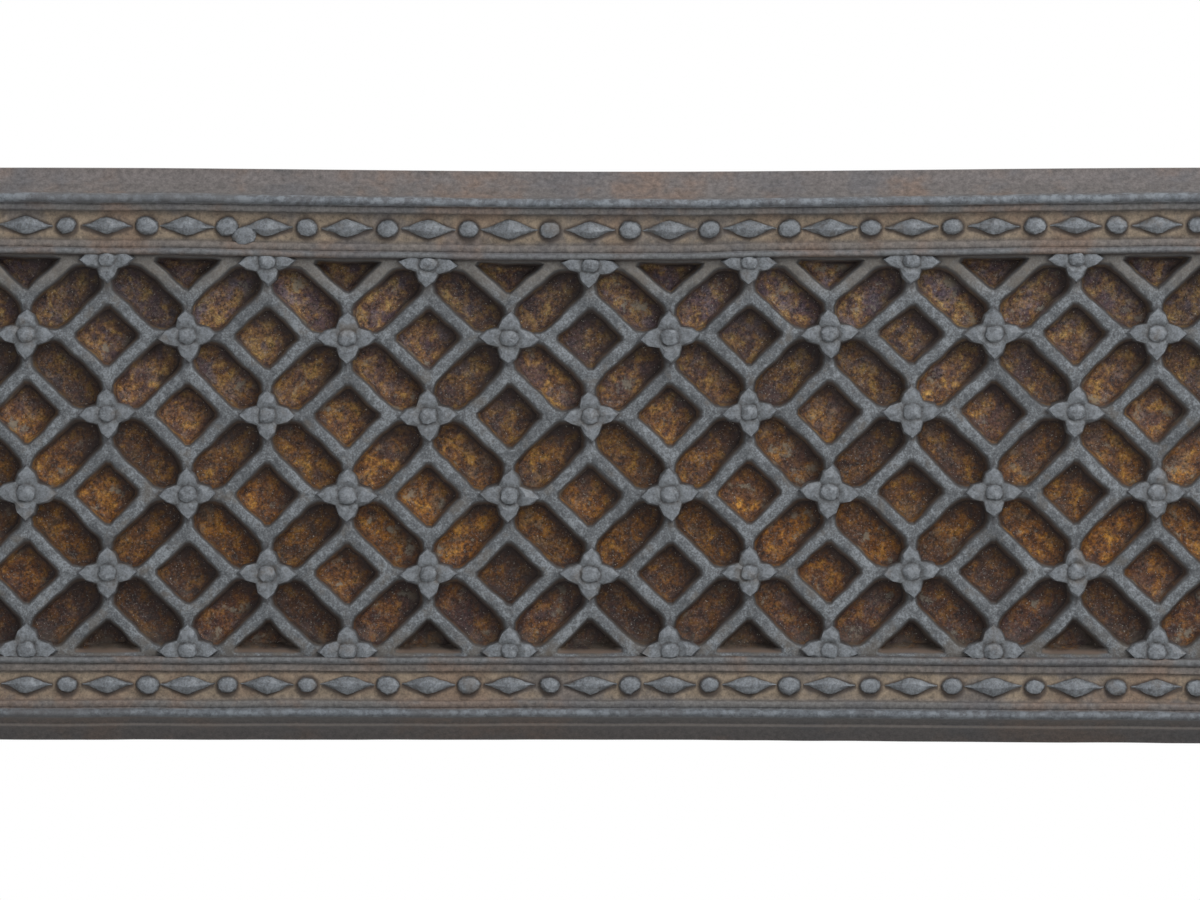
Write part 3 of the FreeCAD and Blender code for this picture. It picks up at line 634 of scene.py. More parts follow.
def longOutline(column, row):
    u, v = latticePlace(column, row)
    farU = u + lattice["pitchU"]
    farV = v + lattice["pitchV"]
    neck = lattice["neckHalf"]
    falling = 1 if isRosette(column, row) else -1
    alongU = lattice["pitchU"] / latticeLength
    alongV = falling * lattice["pitchV"] / latticeLength
    middleU = (u + farU) / 2
    middleV = (v + farV) / 2
    halfWidth = lattice["pitchU"] * lattice["pitchV"] / latticeLength
    halfWidth = halfWidth - lattice["diamondHalf"] - lattice["barWidth"]
    reach = latticeLength / 2 - lattice["notch"]
    outline = [(u + neck, v + neck), (farU - neck, v + neck), (farU - neck, farV - neck),
               (u + neck, farV - neck)]
    for normalU, normalV, limit in ((-alongV, alongU, halfWidth), (alongV, -alongU, halfWidth),
                                    (alongU, alongV, reach), (-alongU, -alongV, reach)):
        outline = clipped(outline, normalU, normalV, normalU * middleU + normalV * middleV + limit)
    return outline


def pocketOutlines(isJamb):
    window = panelArea(isJamb, lattice["border"] + lattice["rim"], lattice["mitreRib"], lattice["footRib"])
    outlines = []
    for column in columns:
        for row in range(lattice["rows"] + 1):
            if not isRosette(column, row):
                outlines.append((diamondOutline(column, row), pocket["diamondSteps"]))
            if row < lattice["rows"]:
                outlines.append((longOutline(column, row), pocket["longSteps"]))
    kept = []
    for outline, count in outlines:
        for (firstU, firstV), (nextU, nextV) in zip(window, window[1:] + window[:1]):
            normalU = nextV - firstV
            normalV = firstU - nextU
            outline = clipped(outline, normalU, normalV, normalU * firstU + normalV * firstV)
        corners = [corner for corner, last in zip(outline, outline[-1:] + outline[:-1])
                   if math.dist(corner, last) > lattice["rim"]]
        if len(corners) > 2:
            kept.append((np.array(corners), count))
    return kept


def outlineCentre(corners):
    ahead = np.roll(corners, -1, axis=0)
    cross = corners[:, 0] * ahead[:, 1] - ahead[:, 0] * corners[:, 1]
    return ((corners + ahead) * cross[:, None]).sum(0) / (3 * cross.sum())


# Points in strip coordinates with their marks, and the faces of a casting's front and back
class Relief:
    def __init__(self):
        self.points = []
        self.marks = []
        self.faces = []
        self.backs = []
        self.count = 0

    def add(self, points, sink=0.0, rim=0.0, tone=0.0, ledge=0.5):
        points = np.asarray(points, float).reshape(-1, 3)
        marks = np.empty((len(points), len(reliefMarks)))
        for column, mark in enumerate((sink, rim, tone, ledge)):
            marks[:, column] = mark
        first = self.count
        self.points.append(points)
        self.marks.append(marks)
        self.count += len(points)
        return first

    def face(self, corners, isBack=False):
        self.faces.append(tuple(int(corner) for corner in corners))
        self.backs.append(isBack)

    def grid(self, first, rows, count, closed, isBack=False):
        for row in range(rows - 1):
            for step in range(count if closed else count - 1):
                ahead = (step + 1) % count
                low = first + row * count
                self.face((low + step, low + ahead, low + count + ahead, low + count + step), isBack)


# Points of the circle through three places, without its ends
def arcRun(start, middle, end, count):
    (ax, ay), (bx, by), (cx, cy) = start, middle, end
    squareA = ax * ax + ay * ay
    squareB = bx * bx + by * by
    squareC = cx * cx + cy * cy
    double = 2 * (ax * (by - cy) + bx * (cy - ay) + cx * (ay - by))
    ox = (squareA * (by - cy) + squareB * (cy - ay) + squareC * (ay - by)) / double
    oy = (squareA * (cx - bx) + squareB * (ax - cx) + squareC * (bx - ax)) / double
    radius = math.hypot(ax - ox, ay - oy)
    angles = np.unwrap([math.atan2(y - oy, x - ox) for x, y in (start, middle, end)])
    run = np.linspace(angles[0], angles[2], count + 2)[1:-1]
    return [(ox + radius * math.cos(angle), oy + radius * math.sin(angle)) for angle in run]


# Section of the border from the back edge to the field, as (v, h)
def borderSection():
    section = [(0, 0), (0, 5), (0, 10), (0, 14.3), (0.25, 14.95)]
    section += arcRun((0.25, 14.95), (3.2, 16.5), (5.4, 19.0), 5)
    section += [(5.4, 19.0), (5.6, 19.6), (5.8, 19.85), (6.2, 19.95), (6.6, 20.05), (6.85, 20.3)]
    section += arcRun((6.85, 20.3), (8.15, 21.7), (9.1, 23.6), 4)
    section += [(9.1, 23.6), (9.25, 23.9), (9.36, 25.5), (9.6, 26.2)]
    section += arcRun((9.6, 26.2), (10.95, 27.0), (12.2, 26.2), 6)
    section += [(12.2, 26.2), (12.45, 25.5), (12.6, 24.6), (12.78, 24.35), (12.95, 24.35), (13.12, 24.5)]
    section += [(13.35, 24.6), (14.2, 24.65), (14.85, 24.55), (15.12, 24.2), (15.22, 23.0), (15.4, 22.2)]
    section += [(15.65, 22.1), (16.3, 21.98), (17.5, 22.0), (19.8, 22.0), (22.1, 22.0), (23.4, 21.98)]
    section += [(24.1, 21.9), (24.3, 21.9)]
    section += [(24.42, 22.3), (24.5, 22.9), (24.75, 23.2), (25.8, 23.35), (26.7, 23.3), (26.98, 23.15)]
    section += [(27.12, 23.05), (27.28, 23.15), (27.38, 23.9), (27.6, 24.4)]
    section += arcRun((27.6, 24.4), (28.5, 24.9), (29.4, 24.4), 4)
    section += [(29.4, 24.4), (29.65, 24.0), (29.74, 23.2), (29.75, 22.6), (29.75, 22.0)]
    return np.array(section)


# Dents and lumps that fettling left along the mouldings
dents = {"count": 90, "lines": [0.3, 5.6, 10.9, 14.2, 25.8, 28.5], "reach": (3.5, 8), "depth": (-0.15, 0.5),
         "narrow": 0.35}


def dented(u, v, seed):
    dice = np.random.default_rng(seed)
    change = np.zeros(np.shape(u))
    for dent in range(dents["count"]):
        line = dents["lines"][dice.integers(len(dents["lines"]))]
        if dice.random() < 0.5:
            line = panel["width"] - line
        dentU = dice.uniform(-panel["half"], panel["half"])
        reach = dice.uniform(*dents["reach"])
        depth = dice.uniform(*dents["depth"])
        change -= depth * np.exp(-((u - dentU) / reach) ** 2 - ((v - line) / (dents["narrow"] * reach)) ** 2)
    return change


def pocketRings(corners, count, tone, relief):
    centre = outlineCentre(corners)
    ahead = np.roll(corners, -1, axis=0)
    run = ahead - corners
    lengths = np.hypot(run[:, 0], run[:, 1])
    normals = np.stack([run[:, 1], -run[:, 0]], axis=1) / lengths[:, None]
    reach = ((corners - centre) * normals).sum(1)
    if reach.sum() < 0:
        normals = -normals
        reach = -reach
    middles = (corners + ahead) / 2
    draft = np.ones(len(corners))
    outerLip = lattice["border"] + lattice["rim"]
    draft[np.abs(middles[:, 1] - outerLip) < 0.01] = pocket["outerDraft"]
    draft[np.abs(middles[:, 1] - panel["width"] + outerLip) < 0.01] = pocket["innerDraft"]
    ends = np.concatenate([[0], np.cumsum(lengths)])
    spots = (np.arange(count) + 0.5) / count * ends[-1]
    sides = np.searchsorted(ends, spots) - 1
    onSide = corners[sides] + run[sides] * ((spots - ends[sides]) / lengths[sides])[:, None]
    ways = onSide - centre
    ways /= np.hypot(ways[:, 0], ways[:, 1])[:, None]
    leans = np.maximum(ways @ normals.T, 0)
    # 1 at the lower left, the side towards the light, where walls are painted darker with more rust and the
    # floor's corner lighter; 0 at the upper right, where walls are painted lighter grey and the floor's
    # corner gets painted shadow
    ledge = np.clip(0.5 + pocket["lean"] * (ways[:, 1] - ways[:, 0]), 0, 1)
    least = reach.min()
    shrink = min(1.0, pocket["insetShare"] * least / pocket["rings"][-1][0])
    deep = min(1.0, pocket["shallow"] + least / pocket["deepening"])
    top = lattice["fieldHeight"]
    rings = []
    for inset, depth, squareness, clean in pocket["rings"]:
        pull = inset * draft * shrink if inset > 0 else np.full(len(reach), inset)
        limits = np.maximum(reach - pull, pocket["leastReach"] * reach)
        radius = (np.power(leans / limits, squareness).sum(1)) ** (-1 / squareness)
        ring = np.empty((count, 3))
        ring[:, :2] = centre + ways * radius[:, None]
        ring[:, 2] = top - depth * deep
        rings.append((relief.add(ring, depth / lattice["depth"], clean, tone, ledge), ring))
    dish = ring.copy()
    dish[:, :2] = centre + (dish[:, :2] - centre) * pocket["dishShare"]
    dish[:, 2] = top - (lattice["depth"] - pocket["dish"]) * deep
    last = relief.add(dish, 1.0, pocket["dishFromWall"], tone, ledge)
    first, rimRing = rings[0]
    relief.grid(first, len(rings) + 1, count, True)
    tip = relief.add([(centre[0], centre[1], top - lattice["depth"] * deep)], 1.0, 1.0, tone)
    for step in range(count):
        relief.face((last + step, last + (step + 1) % count, tip))
    return rimRing[:, :2]


fillTolerance = 0.00001


# Fills a loop with triangles and leaves its holes open
def filled(relief, loop, holes, height, isBack):
    places = [Vector(place) for place in loop]
    faces = [list(range(len(places)))]
    for hole in holes:
        faces.append(list(range(len(places), len(places) + len(hole))))
        places += [Vector(place) for place in hole]
    flat, _, triangles, _, _, sources = geometry.delaunay_2d_cdt(places, [], faces, 1, fillTolerance, True)
    first = relief.add([(place.x, place.y, height) for place in flat])
    for triangle, source in zip(triangles, sources):
        if list(source) == [0]:
            relief.face([first + corner for corner in triangle], isBack)


backOfCasting = {"hollow": 8.0, "flange": 10.0, "rib": 10.0, "bossRadius": 12.0, "bossSteps": 24,
                 "bossEdge": 0.5, "bossFace": 0.02}
cornerX = panel["half"] - panel["width"] / 2
cornerZ = panel["top"] - panel["width"] / 2


def cornerPlace(along, across):
    return cornerX + (along - across) * halfRoot, cornerZ + (along + across) * halfRoot


# Bolt places of the right half as (x, z) and the plane of their heads
boltGroups = {
    "corner": {"places": [cornerPlace(along, across) for along in (-36, 36) for across in (20, -20)],
               "seat": 7.6},
    "rail": {"places": [(322.5, 80.0), (322.5, 380.0), (322.5, 680.0)], "seat": 31.6},
    "header": {"places": [(322.5, 734.0)], "seat": 36.6},
    "strap": {"places": [(470.0, 110.0), (470.0, 540.0), (370.0, 728.5)], "seat": 6.6},
}


def bossPlaces(isJamb):
    found = []
    for kind in ("corner", "rail", "strap"):
        for x, z in boltGroups[kind]["places"]:
            onMitre = (panel["half"] - x) - (panel["top"] - z)
            if isJamb and onMitre < 0:
                found.append((z + footEnd, panel["half"] - x))
            if not isJamb and onMitre > 0:
                found.append((x, panel["top"] - z))
                found.append((-x, panel["top"] - z))
    return found


# Unevenness of the cast skin, which is on the front only: amount and length in mm, and step of the seed
skin = {"longU": (0.2, 15, 1), "longV": (0.2, 15, 2), "shortU": (0.11, 5, 7), "shortV": (0.11, 5, 8),
        "sway": (0.1, 55, 6), "face": (0.14, 11, 3), "floor": (0.4, 6, 4)}
skinFrom = {"height": 9.0, "over": 4.0, "fieldOver": 3.0, "edge": 0.5}


def outerLoop(outerRow, innerRow):
    return [tuple(place) for place in outerRow[:, :2]] + [tuple(place) for place in innerRow[::-1, :2]]


def reliefMesh(name, casting):
    isJamb = casting["isJamb"]
    dice = np.random.default_rng(casting["seed"])
    relief = Relief()
    section = borderSection()
    count = casting["stations"] + 1
    share = np.linspace(0, 1, count)
    borders = []
    for flipped in (False, True):
        rows = []
        for v, h in section:
            v = panel["width"] - v if flipped else v
            low = footEnd if isJamb else v - mitreEnd
            u = low + share * (mitreEnd - v - low)
            rows.append(np.stack([u, np.full(count, v), np.full(count, h)], axis=1))
        first = relief.add(np.concatenate(rows))
        relief.grid(first, len(section), count, False)
        borders.append((first, rows))
    (outerFirst, outerRows), (innerFirst, innerRows) = borders
    for end in (0, count - 1):
        outerEnd = [outerFirst + row * count + end for row in range(len(section))]
        innerEnd = [innerFirst + row * count + end for row in range(len(section))]
        relief.face(outerEnd + innerEnd[::-1], True)

    holes = []
    for corners, rimCount in pocketOutlines(isJamb):
        centre = outlineCentre(corners)
        run = np.roll(corners, -1, axis=0) - corners
        away = np.abs((centre - corners)[:, 0] * run[:, 1] - (centre - corners)[:, 1] * run[:, 0])
        if (away / np.hypot(run[:, 0], run[:, 1])).min() > pocket["smallest"]:
            holes.append(pocketRings(corners, rimCount, dice.random(), relief))
    filled(relief, outerLoop(outerRows[-1], innerRows[-1]), holes, lattice["fieldHeight"], False)

    flange = backOfCasting["flange"]
    area = panelArea(isJamb, flange, flange, flange)
    ribMiddle = (footEnd + mitreEnd - panel["width"]) / 2 if isJamb else 0.0
    halfRib = backOfCasting["rib"] / 2
    hollows = [clipped(area, 1, 0, ribMiddle - halfRib), clipped(area, -1, 0, -ribMiddle - halfRib)]
    filled(relief, outerLoop(outerRows[0], innerRows[0]), hollows, 0.0, True)
    for hollow in hollows:
        low = relief.add([(u, v, 0.0) for u, v in hollow])
        high = relief.add([(u, v, backOfCasting["hollow"]) for u, v in hollow])
        relief.grid(low, 2, len(hollow), True, True)
        relief.face(range(high, high + len(hollow)), True)
    turns = np.array(fullTurn(backOfCasting["bossSteps"]))
    radius = backOfCasting["bossRadius"]
    blend = backOfCasting["bossEdge"]
    bossRings = [(radius, backOfCasting["hollow"] + blend), (radius, blend),
                 (radius - blend, backOfCasting["bossFace"])]
    for u, v in bossPlaces(isJamb):
        first = None
        for radius, h in bossRings:
            start = relief.add(np.stack([u + radius * np.cos(turns), v + radius * np.sin(turns),
                                         np.full(len(turns), h)], axis=1))
            first = start if first is None else first
        relief.grid(first, len(bossRings), len(turns), True, True)
        relief.face(range(first, first + len(turns)), True)
        relief.face(range(start, start + len(turns)), True)

    points = np.concatenate(relief.points)
    marks = np.concatenate(relief.marks)
    u, v, h = points.T
    seed = casting["seed"]
    edge = np.minimum(v, panel["width"] - v)
    front = np.clip((h - skinFrom["height"]) / skinFrom["over"], 0, 1)
    inField = np.clip((edge - lattice["border"]) / skinFrom["fieldOver"], 0, 1)
    wave = {kind: amount * ripple(u, v, length, seed + step) for kind, (amount, length, step) in skin.items()}
    newU = u + front * inField * (wave["longU"] + wave["shortU"])
    newV = v + front * (inField * (wave["longV"] + wave["shortV"]) + wave["sway"])
    newV = np.where(edge < skinFrom["edge"], np.clip(newV, 0, panel["width"]), newV)
    newH = h + front * (wave["face"] + marks[:, 0] * wave["floor"])
    newH += front * dented(u, v, seed + 5) * (edge < lattice["border"])
    world = toWorld(casting, newU, newV, newH)

    mesh = bpy.data.meshes.new(name)
    mesh.from_pydata(world.tolist(), [], relief.faces)
    for column, label in enumerate(reliefMarks):
        values = marks[:, column].astype(np.float32)
        mesh.attributes.new(label, "FLOAT", "POINT").data.foreach_set("value", values)
    layer = mesh.uv_layers.new(name="strip")
    corners = np.empty(len(mesh.loops), dtype=np.int32)
    mesh.loops.foreach_get("vertex_index", corners)
    layer.data.foreach_set("uv", (points[corners][:, :2] * uvScale).astype(np.float32).ravel())
    mesh.polygons.foreach_set("material_index", np.array(relief.backs, dtype=np.int32))
    mesh.materials.append(reliefFinish)
    mesh.materials.append(plainFinishes["castingBackIron"])
    openEdges = outward(mesh, merge=weldWithin["relief"])
    smoothed(mesh, "relief")
    print(name, "pockets", len(holes), "faces", len(mesh.polygons), "open edges", openEdges)
    return mesh


for name, casting in castings.items():
    piece = newPiece(name + "_relief", reliefMesh(name + "_relief", casting))
    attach(piece, "frame")
    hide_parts(casting["node"])
print("castings made")


scatterGrain = {"Scale": 0.45, "Detail": 2.0}


# Tree that sets a small shape at each point, turned, swelled and roughened a little
def scatterTree():
    tree = bpy.data.node_groups.new("scatterOrnament", "GeometryNodeTree")
    ways = {"Places": "NodeSocketGeometry", "Shape": "NodeSocketObject", "Finish": "NodeSocketMaterial",
            "Turn": "NodeSocketFloat", "Swell": "NodeSocketFloat", "Roughness": "NodeSocketFloat",
            "Seed": "NodeSocketInt"}
    for label, kind in ways.items():
        tree.interface.new_socket(label, in_out="INPUT", socket_type=kind)
    tree.interface.new_socket("Mesh", in_out="OUTPUT", socket_type="NodeSocketGeometry")
    start = Lead(tree)
    entry = tree.nodes.new("NodeGroupInput")
    given = {label: Lead(tree, entry.outputs[label]) for label in ways}
    shape = start.node("GeometryNodeObjectInfo", {"transform_space": "ORIGINAL"},
                       {"Object": given["Shape"]}, 4)
    angle = start.node("FunctionNodeRandomValue", {"data_type": "FLOAT"},
                       {2: given["Turn"] * -1.0, 3: given["Turn"], 8: given["Seed"]}, 1)
    scale = start.node("FunctionNodeRandomValue", {"data_type": "FLOAT"},
                       {2: 1.0 - given["Swell"], 3: 1.0 + given["Swell"], 8: given["Seed"] + 1.0}, 1)
    turn = start.node("ShaderNodeCombineXYZ", {}, {2: angle})
    placed = start.node("GeometryNodeInstanceOnPoints", {},
                        {"Points": given["Places"], "Instance": shape, "Rotation": turn, "Scale": scale})
    real = start.node("GeometryNodeRealizeInstances", {}, {0: placed})
    where = start.node("GeometryNodeInputPosition", {}, {})
    grain = start.node("ShaderNodeTexNoise", {}, {"Vector": where, **scatterGrain}, 1)
    shift = start.node("ShaderNodeVectorMath", {"operation": "SUBTRACT"}, {0: grain, 1: (0.5, 0.5, 0.5)})
    shift = dimmed(shift, given["Roughness"])
    rough = start.node("GeometryNodeSetPosition", {}, {"Geometry": real, "Offset": shift})
    done = start.node("GeometryNodeSetMaterial", {}, {"Geometry": rough, "Material": given["Finish"]})
    start.node("NodeGroupOutput", {}, {0: done})
    return tree


scatter = scatterTree()


def scattered(places, shape, finish, look, seed):
    source = bpy.data.meshes.new("placesToScatter")
    source.from_pydata([tuple(map(float, place)) for place in places], [], [])
    pattern = newPiece("shapeToScatter", shape)
    holder = newPiece("placesToScatter", source)
    modifier = holder.modifiers.new("scatter", "NODES")
    modifier.node_group = scatter
    values = {"Shape": pattern, "Finish": finish, "Turn": look["turn"], "Swell": look["swell"],
              "Roughness": look["roughness"], "Seed": seed}
    for item in scatter.interface.items_tree:
        if item.item_type == "SOCKET" and item.in_out == "INPUT" and item.name in values:
            modifier[item.identifier] = values[item.name]
    made = applied(holder)
    bpy.data.objects.remove(pattern)
    return made


def shapeMesh(name, points, faces, crest):
    mesh = bpy.data.meshes.new(name)
    mesh.from_pydata(points, [], faces)
    values = np.array(crest, dtype=np.float32)
    mesh.attributes.new("crest", "FLOAT", "POINT").data.foreach_set("value", values)
    outward(mesh)
    return mesh


# Rings of points round an axis, closed by a tip above and a flat face below
def ringShape(name, rings, crests, tipHeight):
    count = len(rings[0])
    points = [(0.0, 0.0, tipHeight)]
    crest = [1.0]
    faces = []
    for ring, ringCrest in zip(rings, crests):
        points += ring
        crest += ringCrest
    for step in range(count):
        faces.append((0, 1 + step, 1 + (step + 1) % count))
    for row in range(len(rings) - 1):
        for step in range(count):
            ahead = (step + 1) % count
            low = 1 + row * count
            faces.append((low + step, low + count + step, low + count + ahead, low + ahead))
    faces.append(tuple(range(1 + (len(rings) - 1) * count, 1 + len(rings) * count)))
    return shapeMesh(name, points, faces, crest)


# Rosette: rings as (reach, height, crest) at a petal's tip, shoulder and notch; low crests in the crease
# round the boss and down the skirt are painted shade
rosette = {
    "rings": [((1.6, 3.3, 1.0), (1.6, 3.3, 1.0), (1.75, 3.3, 1.0)),
              ((2.5, 2.9, 0.85), (2.55, 2.9, 0.85), (2.75, 2.8, 0.8)),
              ((3.1, 2.05, 0.35), (3.15, 2.0, 0.35), (3.35, 1.7, 0.3)),
              ((5.4, 2.75, 0.95), (5.2, 2.6, 0.9), (4.3, 1.85, 0.5)),
              ((9.2, 2.05, 1.0), (7.1, 2.2, 0.9), (4.95, 1.55, 0.45)),
              ((9.95, 0.6, 0.4), (7.65, 0.9, 0.3), (5.35, 0.7, 0.15)),
              ((10.25, -5.5, 0.0), (8.1, -5.5, 0.0), (5.8, -5.5, 0.0))],
    "tip": 3.5, "shoulder": 20.0, "stretch": 1.06, "squash": 0.94, "turn": 0.09, "swell": 0.06,
    "roughness": 1.8,
}


def rosetteShape():
    rings = []
    crests = []
    shoulderAngle = rosette["shoulder"]
    for tip, shoulder, notch in rosette["rings"]:
        ring = []
        crest = []
        petal = ((0.0, tip), (shoulderAngle, shoulder), (45.0, notch), (90 - shoulderAngle, shoulder))
        for quarter in range(4):
            # worn here is the crest mark: low in the crease and at the foot, where it paints shade
            for angle, (reach, height, worn) in petal:
                way = math.radians(90 * quarter + angle)
                ring.append((rosette["stretch"] * reach * math.cos(way),
                             rosette["squash"] * reach * math.sin(way), height))
                crest.append(worn)
        rings.append(ring)
        crests.append(crest)
    return ringShape("rosetteShape", rings, crests, rosette["tip"])


# Round rings as (reach, height), which may be stretched along and squashed across
def roundRings(profile, steps, stretch=1.0, squash=1.0):
    return [[(stretch * reach * math.cos(way), squash * reach * math.sin(way), height)
             for way in fullTurn(steps)] for reach, height in profile]


# Bead: rings as (reach, height), and each one's crest mark: worn at the top, painted shade at the foot
bead = {"rings": [(1.7, 2.35), (2.6, 1.8), (3.1, 0.6), (3.2, -0.6)], "crests": [1.0, 0.85, 0.2, 0.0],
        "steps": 12, "tip": 2.5, "stretch": 1.24, "squash": 0.88, "turn": 0.15, "swell": 0.1,
        "roughness": 1.3}


def beadShape():
    rings = roundRings(bead["rings"], bead["steps"], bead["stretch"], bead["squash"])
    return ringShape("beadShape", rings, [[worn] * bead["steps"] for worn in bead["crests"]], bead["tip"])


# Lozenge with drawn-out tips: stations along it as (share of length, half width, ridge height); its crests
# run from painted shade at the foot to worn on the ridge
lozenge = {"half": 9.2, "stations": [(0.0, 0.12, 0.35), (0.14, 0.3, 0.75), (0.32, 0.75, 1.15),
                                     (0.55, 1.55, 1.75), (0.78, 2.3, 2.3), (1.0, 2.7, 2.6)],
           "flare": 0.3, "shoulder": 0.5, "ridge": 0.25, "worn": [0.0, 0.6, 1.0, 1.0, 0.6, 0.0],
           "sink": -0.5, "turn": 0.03, "swell": 0.07, "roughness": 1.3}


def lozengeShape():
    rows = [(lozenge["half"] * (share - 1), width, height) for share, width, height in lozenge["stations"]]
    rows += [(-place, width, height) for place, width, height in rows[-2::-1]]
    points = []
    faces = []
    for place, width, height in rows:
        side = [(width + lozenge["flare"], lozenge["sink"]), (width, height * lozenge["shoulder"]),
                (width * lozenge["ridge"], height)]
        points += [(place, -across, level) for across, level in side]
        points += [(place, across, level) for across, level in side[::-1]]
    count = len(lozenge["worn"])
    for row in range(len(rows) - 1):
        for step in range(count):
            low = row * count
            ahead = (step + 1) % count
            faces.append((low + step, low + ahead, low + count + ahead, low + count + step))
    faces.append(tuple(range(count)))
    faces.append(tuple(range(len(points) - count, len(points))))
    return shapeMesh("lozengeShape", points, faces, lozenge["worn"] * len(rows))


# Lump of iron left on the lintel's upper bead band by a broken mould, made from a bead
lump = {"u": -119.9, "v": 22.7, "size": (3.9, 3.2, 2.0), "beadSize": (3.4, 2.9, 2.4), "ragged": 0.16,
        "length": 3.0, "seed": 71}


def lumpMesh():
    mesh = beadShape()
    spots = readSpots(mesh) * (np.array(lump["size"]) / np.array(lump["beadSize"]))
    ragged = ripple(spots[:, 0], spots[:, 1], lump["length"], lump["seed"])
    spots[:, :2] *= 1 + lump["ragged"] * ragged[:, None]
    writeSpots(mesh, spots + np.array([lump["u"], lump["v"], lattice["fieldHeight"]]))
    mesh.materials.append(crestFinish)
    return mesh


# How far the lip covers the rosettes' middles at most, and how far their ends go into it
lipCover = {"middle": 1.3, "end": 0.35}


def ornamentPlaces(isJamb):
    lipLine = lattice["border"] - lipCover["middle"]
    field = panelArea(isJamb, lipLine, lattice["mitreRib"], lattice["footRib"])
    whole = panelArea(isJamb, 0, 0, 0)
    level = lattice["fieldHeight"]
    found = {"rosettes": [], "beads": [], "lozenges": []}
    for column in columns:
        for row in range(lattice["rows"] + 1):
            u, v = latticePlace(column, row)
            if isRosette(column, row) and insideArea(field, u, v, 0):
                found["rosettes"].append((u, v, level))
        lozengeU = column * lattice["pitchU"]
        for v in (lattice["beadLine"], panel["width"] - lattice["beadLine"]):
            for kind, u in (("lozenges", lozengeU), ("beads", lozengeU + lattice["pitchU"] / 2)):
                if insideArea(whole, u, v, lozenge["half"]):
                    found[kind].append((u, v, level))
    return found


# Rosettes on the field's edge end inside the lip
def endedInLip(mesh):
    spots = readSpots(mesh)
    lipLine = lattice["border"] - lipCover["end"]
    spots[:, 1] = np.clip(spots[:, 1], lipLine, panel["width"] - lipLine)
    writeSpots(mesh, spots)
    return mesh


for name, casting in castings.items():
    places = ornamentPlaces(casting["isJamb"])
    seed = casting["seed"]
    parts = [
        endedInLip(scattered(places["rosettes"], rosetteShape(), crestFinish, rosette, seed)),
        scattered(places["beads"], beadShape(), crestFinish, bead, seed + 3),
        scattered(places["lozenges"], lozengeShape(), crestFinish, lozenge, seed + 5),
    ]
    if not casting["isJamb"]:
        parts.append(lumpMesh())
    edit = bmesh.new()
    for part in parts:
        edit.from_mesh(part)
    mesh = bpy.data.meshes.new(name + "_ornament")
    edit.to_mesh(mesh)
    edit.free()
    mesh.materials.append(crestFinish)
    u, v, h = readSpots(mesh).T
    writeSpots(mesh, toWorld(casting, u, v, h))
    outward(mesh, sliver=weldWithin["ornament"])
    smoothed(mesh, "ornament")
    piece = newPiece(name + "_ornament", mesh)
    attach(piece, "frame")
    print(name, {kind: len(found) for kind, found in places.items()}, "faces", len(mesh.polygons))


# Plain iron pieces: the CAD shape with its edges rounded over
softPieces = {
    "guideIron": {"slot": "guide_iron", "round": 0.7, "body": "frame",
                  "nodes": ["left_corner_plate", "right_corner_plate", "left_guide_rail", "right_guide_rail",
                            "header_angle"]},
    "strapIron": {"slot": "strap_iron", "round": 0.9, "body": "frame",
                  "nodes": ["left_lower_wall_strap", "right_lower_wall_strap", "left_upper_wall_strap",
                            "right_upper_wall_strap", "left_top_wall_strap", "right_top_wall_strap"]},
    "fastenerSteel": {"slot": "fastener_steel", "round": 0.35, "body": "frame",
                      "nodes": ["corner_washers", "rail_washers", "header_washers", "strap_washers"]},
    "sheetIron": {"slot": "sheet_iron", "round": 0.3, "body": "lower_shutter",
                  "nodes": ["lower_leaf", "lower_leaf_bar", "lifting_angle", "left_pull_bracket",
                            "right_pull_bracket", "middle_leaf", "upper_leaf"]},
}
leafBodies = {"middle_leaf": "middle_shutter", "upper_leaf": "upper_shutter"}
rounding = {"flat": 2, "sharp": 50, "segments": 2}


def roundedCopy(node, finish, amount):
    mesh = nodes[node].data.copy()
    mesh.materials.clear()
    mesh.materials.append(finish)
    edit = bmesh.new()
    edit.from_mesh(mesh)
    bmesh.ops.remove_doubles(edit, verts=edit.verts, dist=weldWithin["rounded"])
    bmesh.ops.dissolve_limit(edit, angle_limit=math.radians(rounding["flat"]), verts=edit.verts,
                             edges=edit.edges)
    for face in edit.faces:
        face.material_index = 0
    edit.to_mesh(mesh)
    edit.free()
    holder = newPiece("toRound", mesh)
    bevel = holder.modifiers.new("roundEdges", "BEVEL")
    bevel.width = amount * mm
    bevel.segments = rounding["segments"]
    bevel.limit_method = "ANGLE"
    bevel.angle_limit = math.radians(rounding["sharp"])
    made = applied(holder)
    smoothed(made, "rounded")
    return made


for kind, soft in softPieces.items():
    for node in soft["nodes"]:
        piece = newPiece(node + "_iron", roundedCopy(node, plainFinishes[kind], soft["round"]))
        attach(piece, leafBodies.get(node, soft["body"]))
        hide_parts(node)
print("plain iron pieces made")

# Square bolt heads, chamfered as a smith leaves them
squareBolt = {"half": 6.5, "height": 5.5, "chamfer": 1.3, "corner": 0.6, "foot": 0.25, "footShare": 0.97,
              "crown": 0.25, "chamferSlope": 0.8, "shank": 4.0, "shankLength": 17.0, "turn": 0.35,
              "swell": 0.0, "roughness": 0.15, "seed": 5}


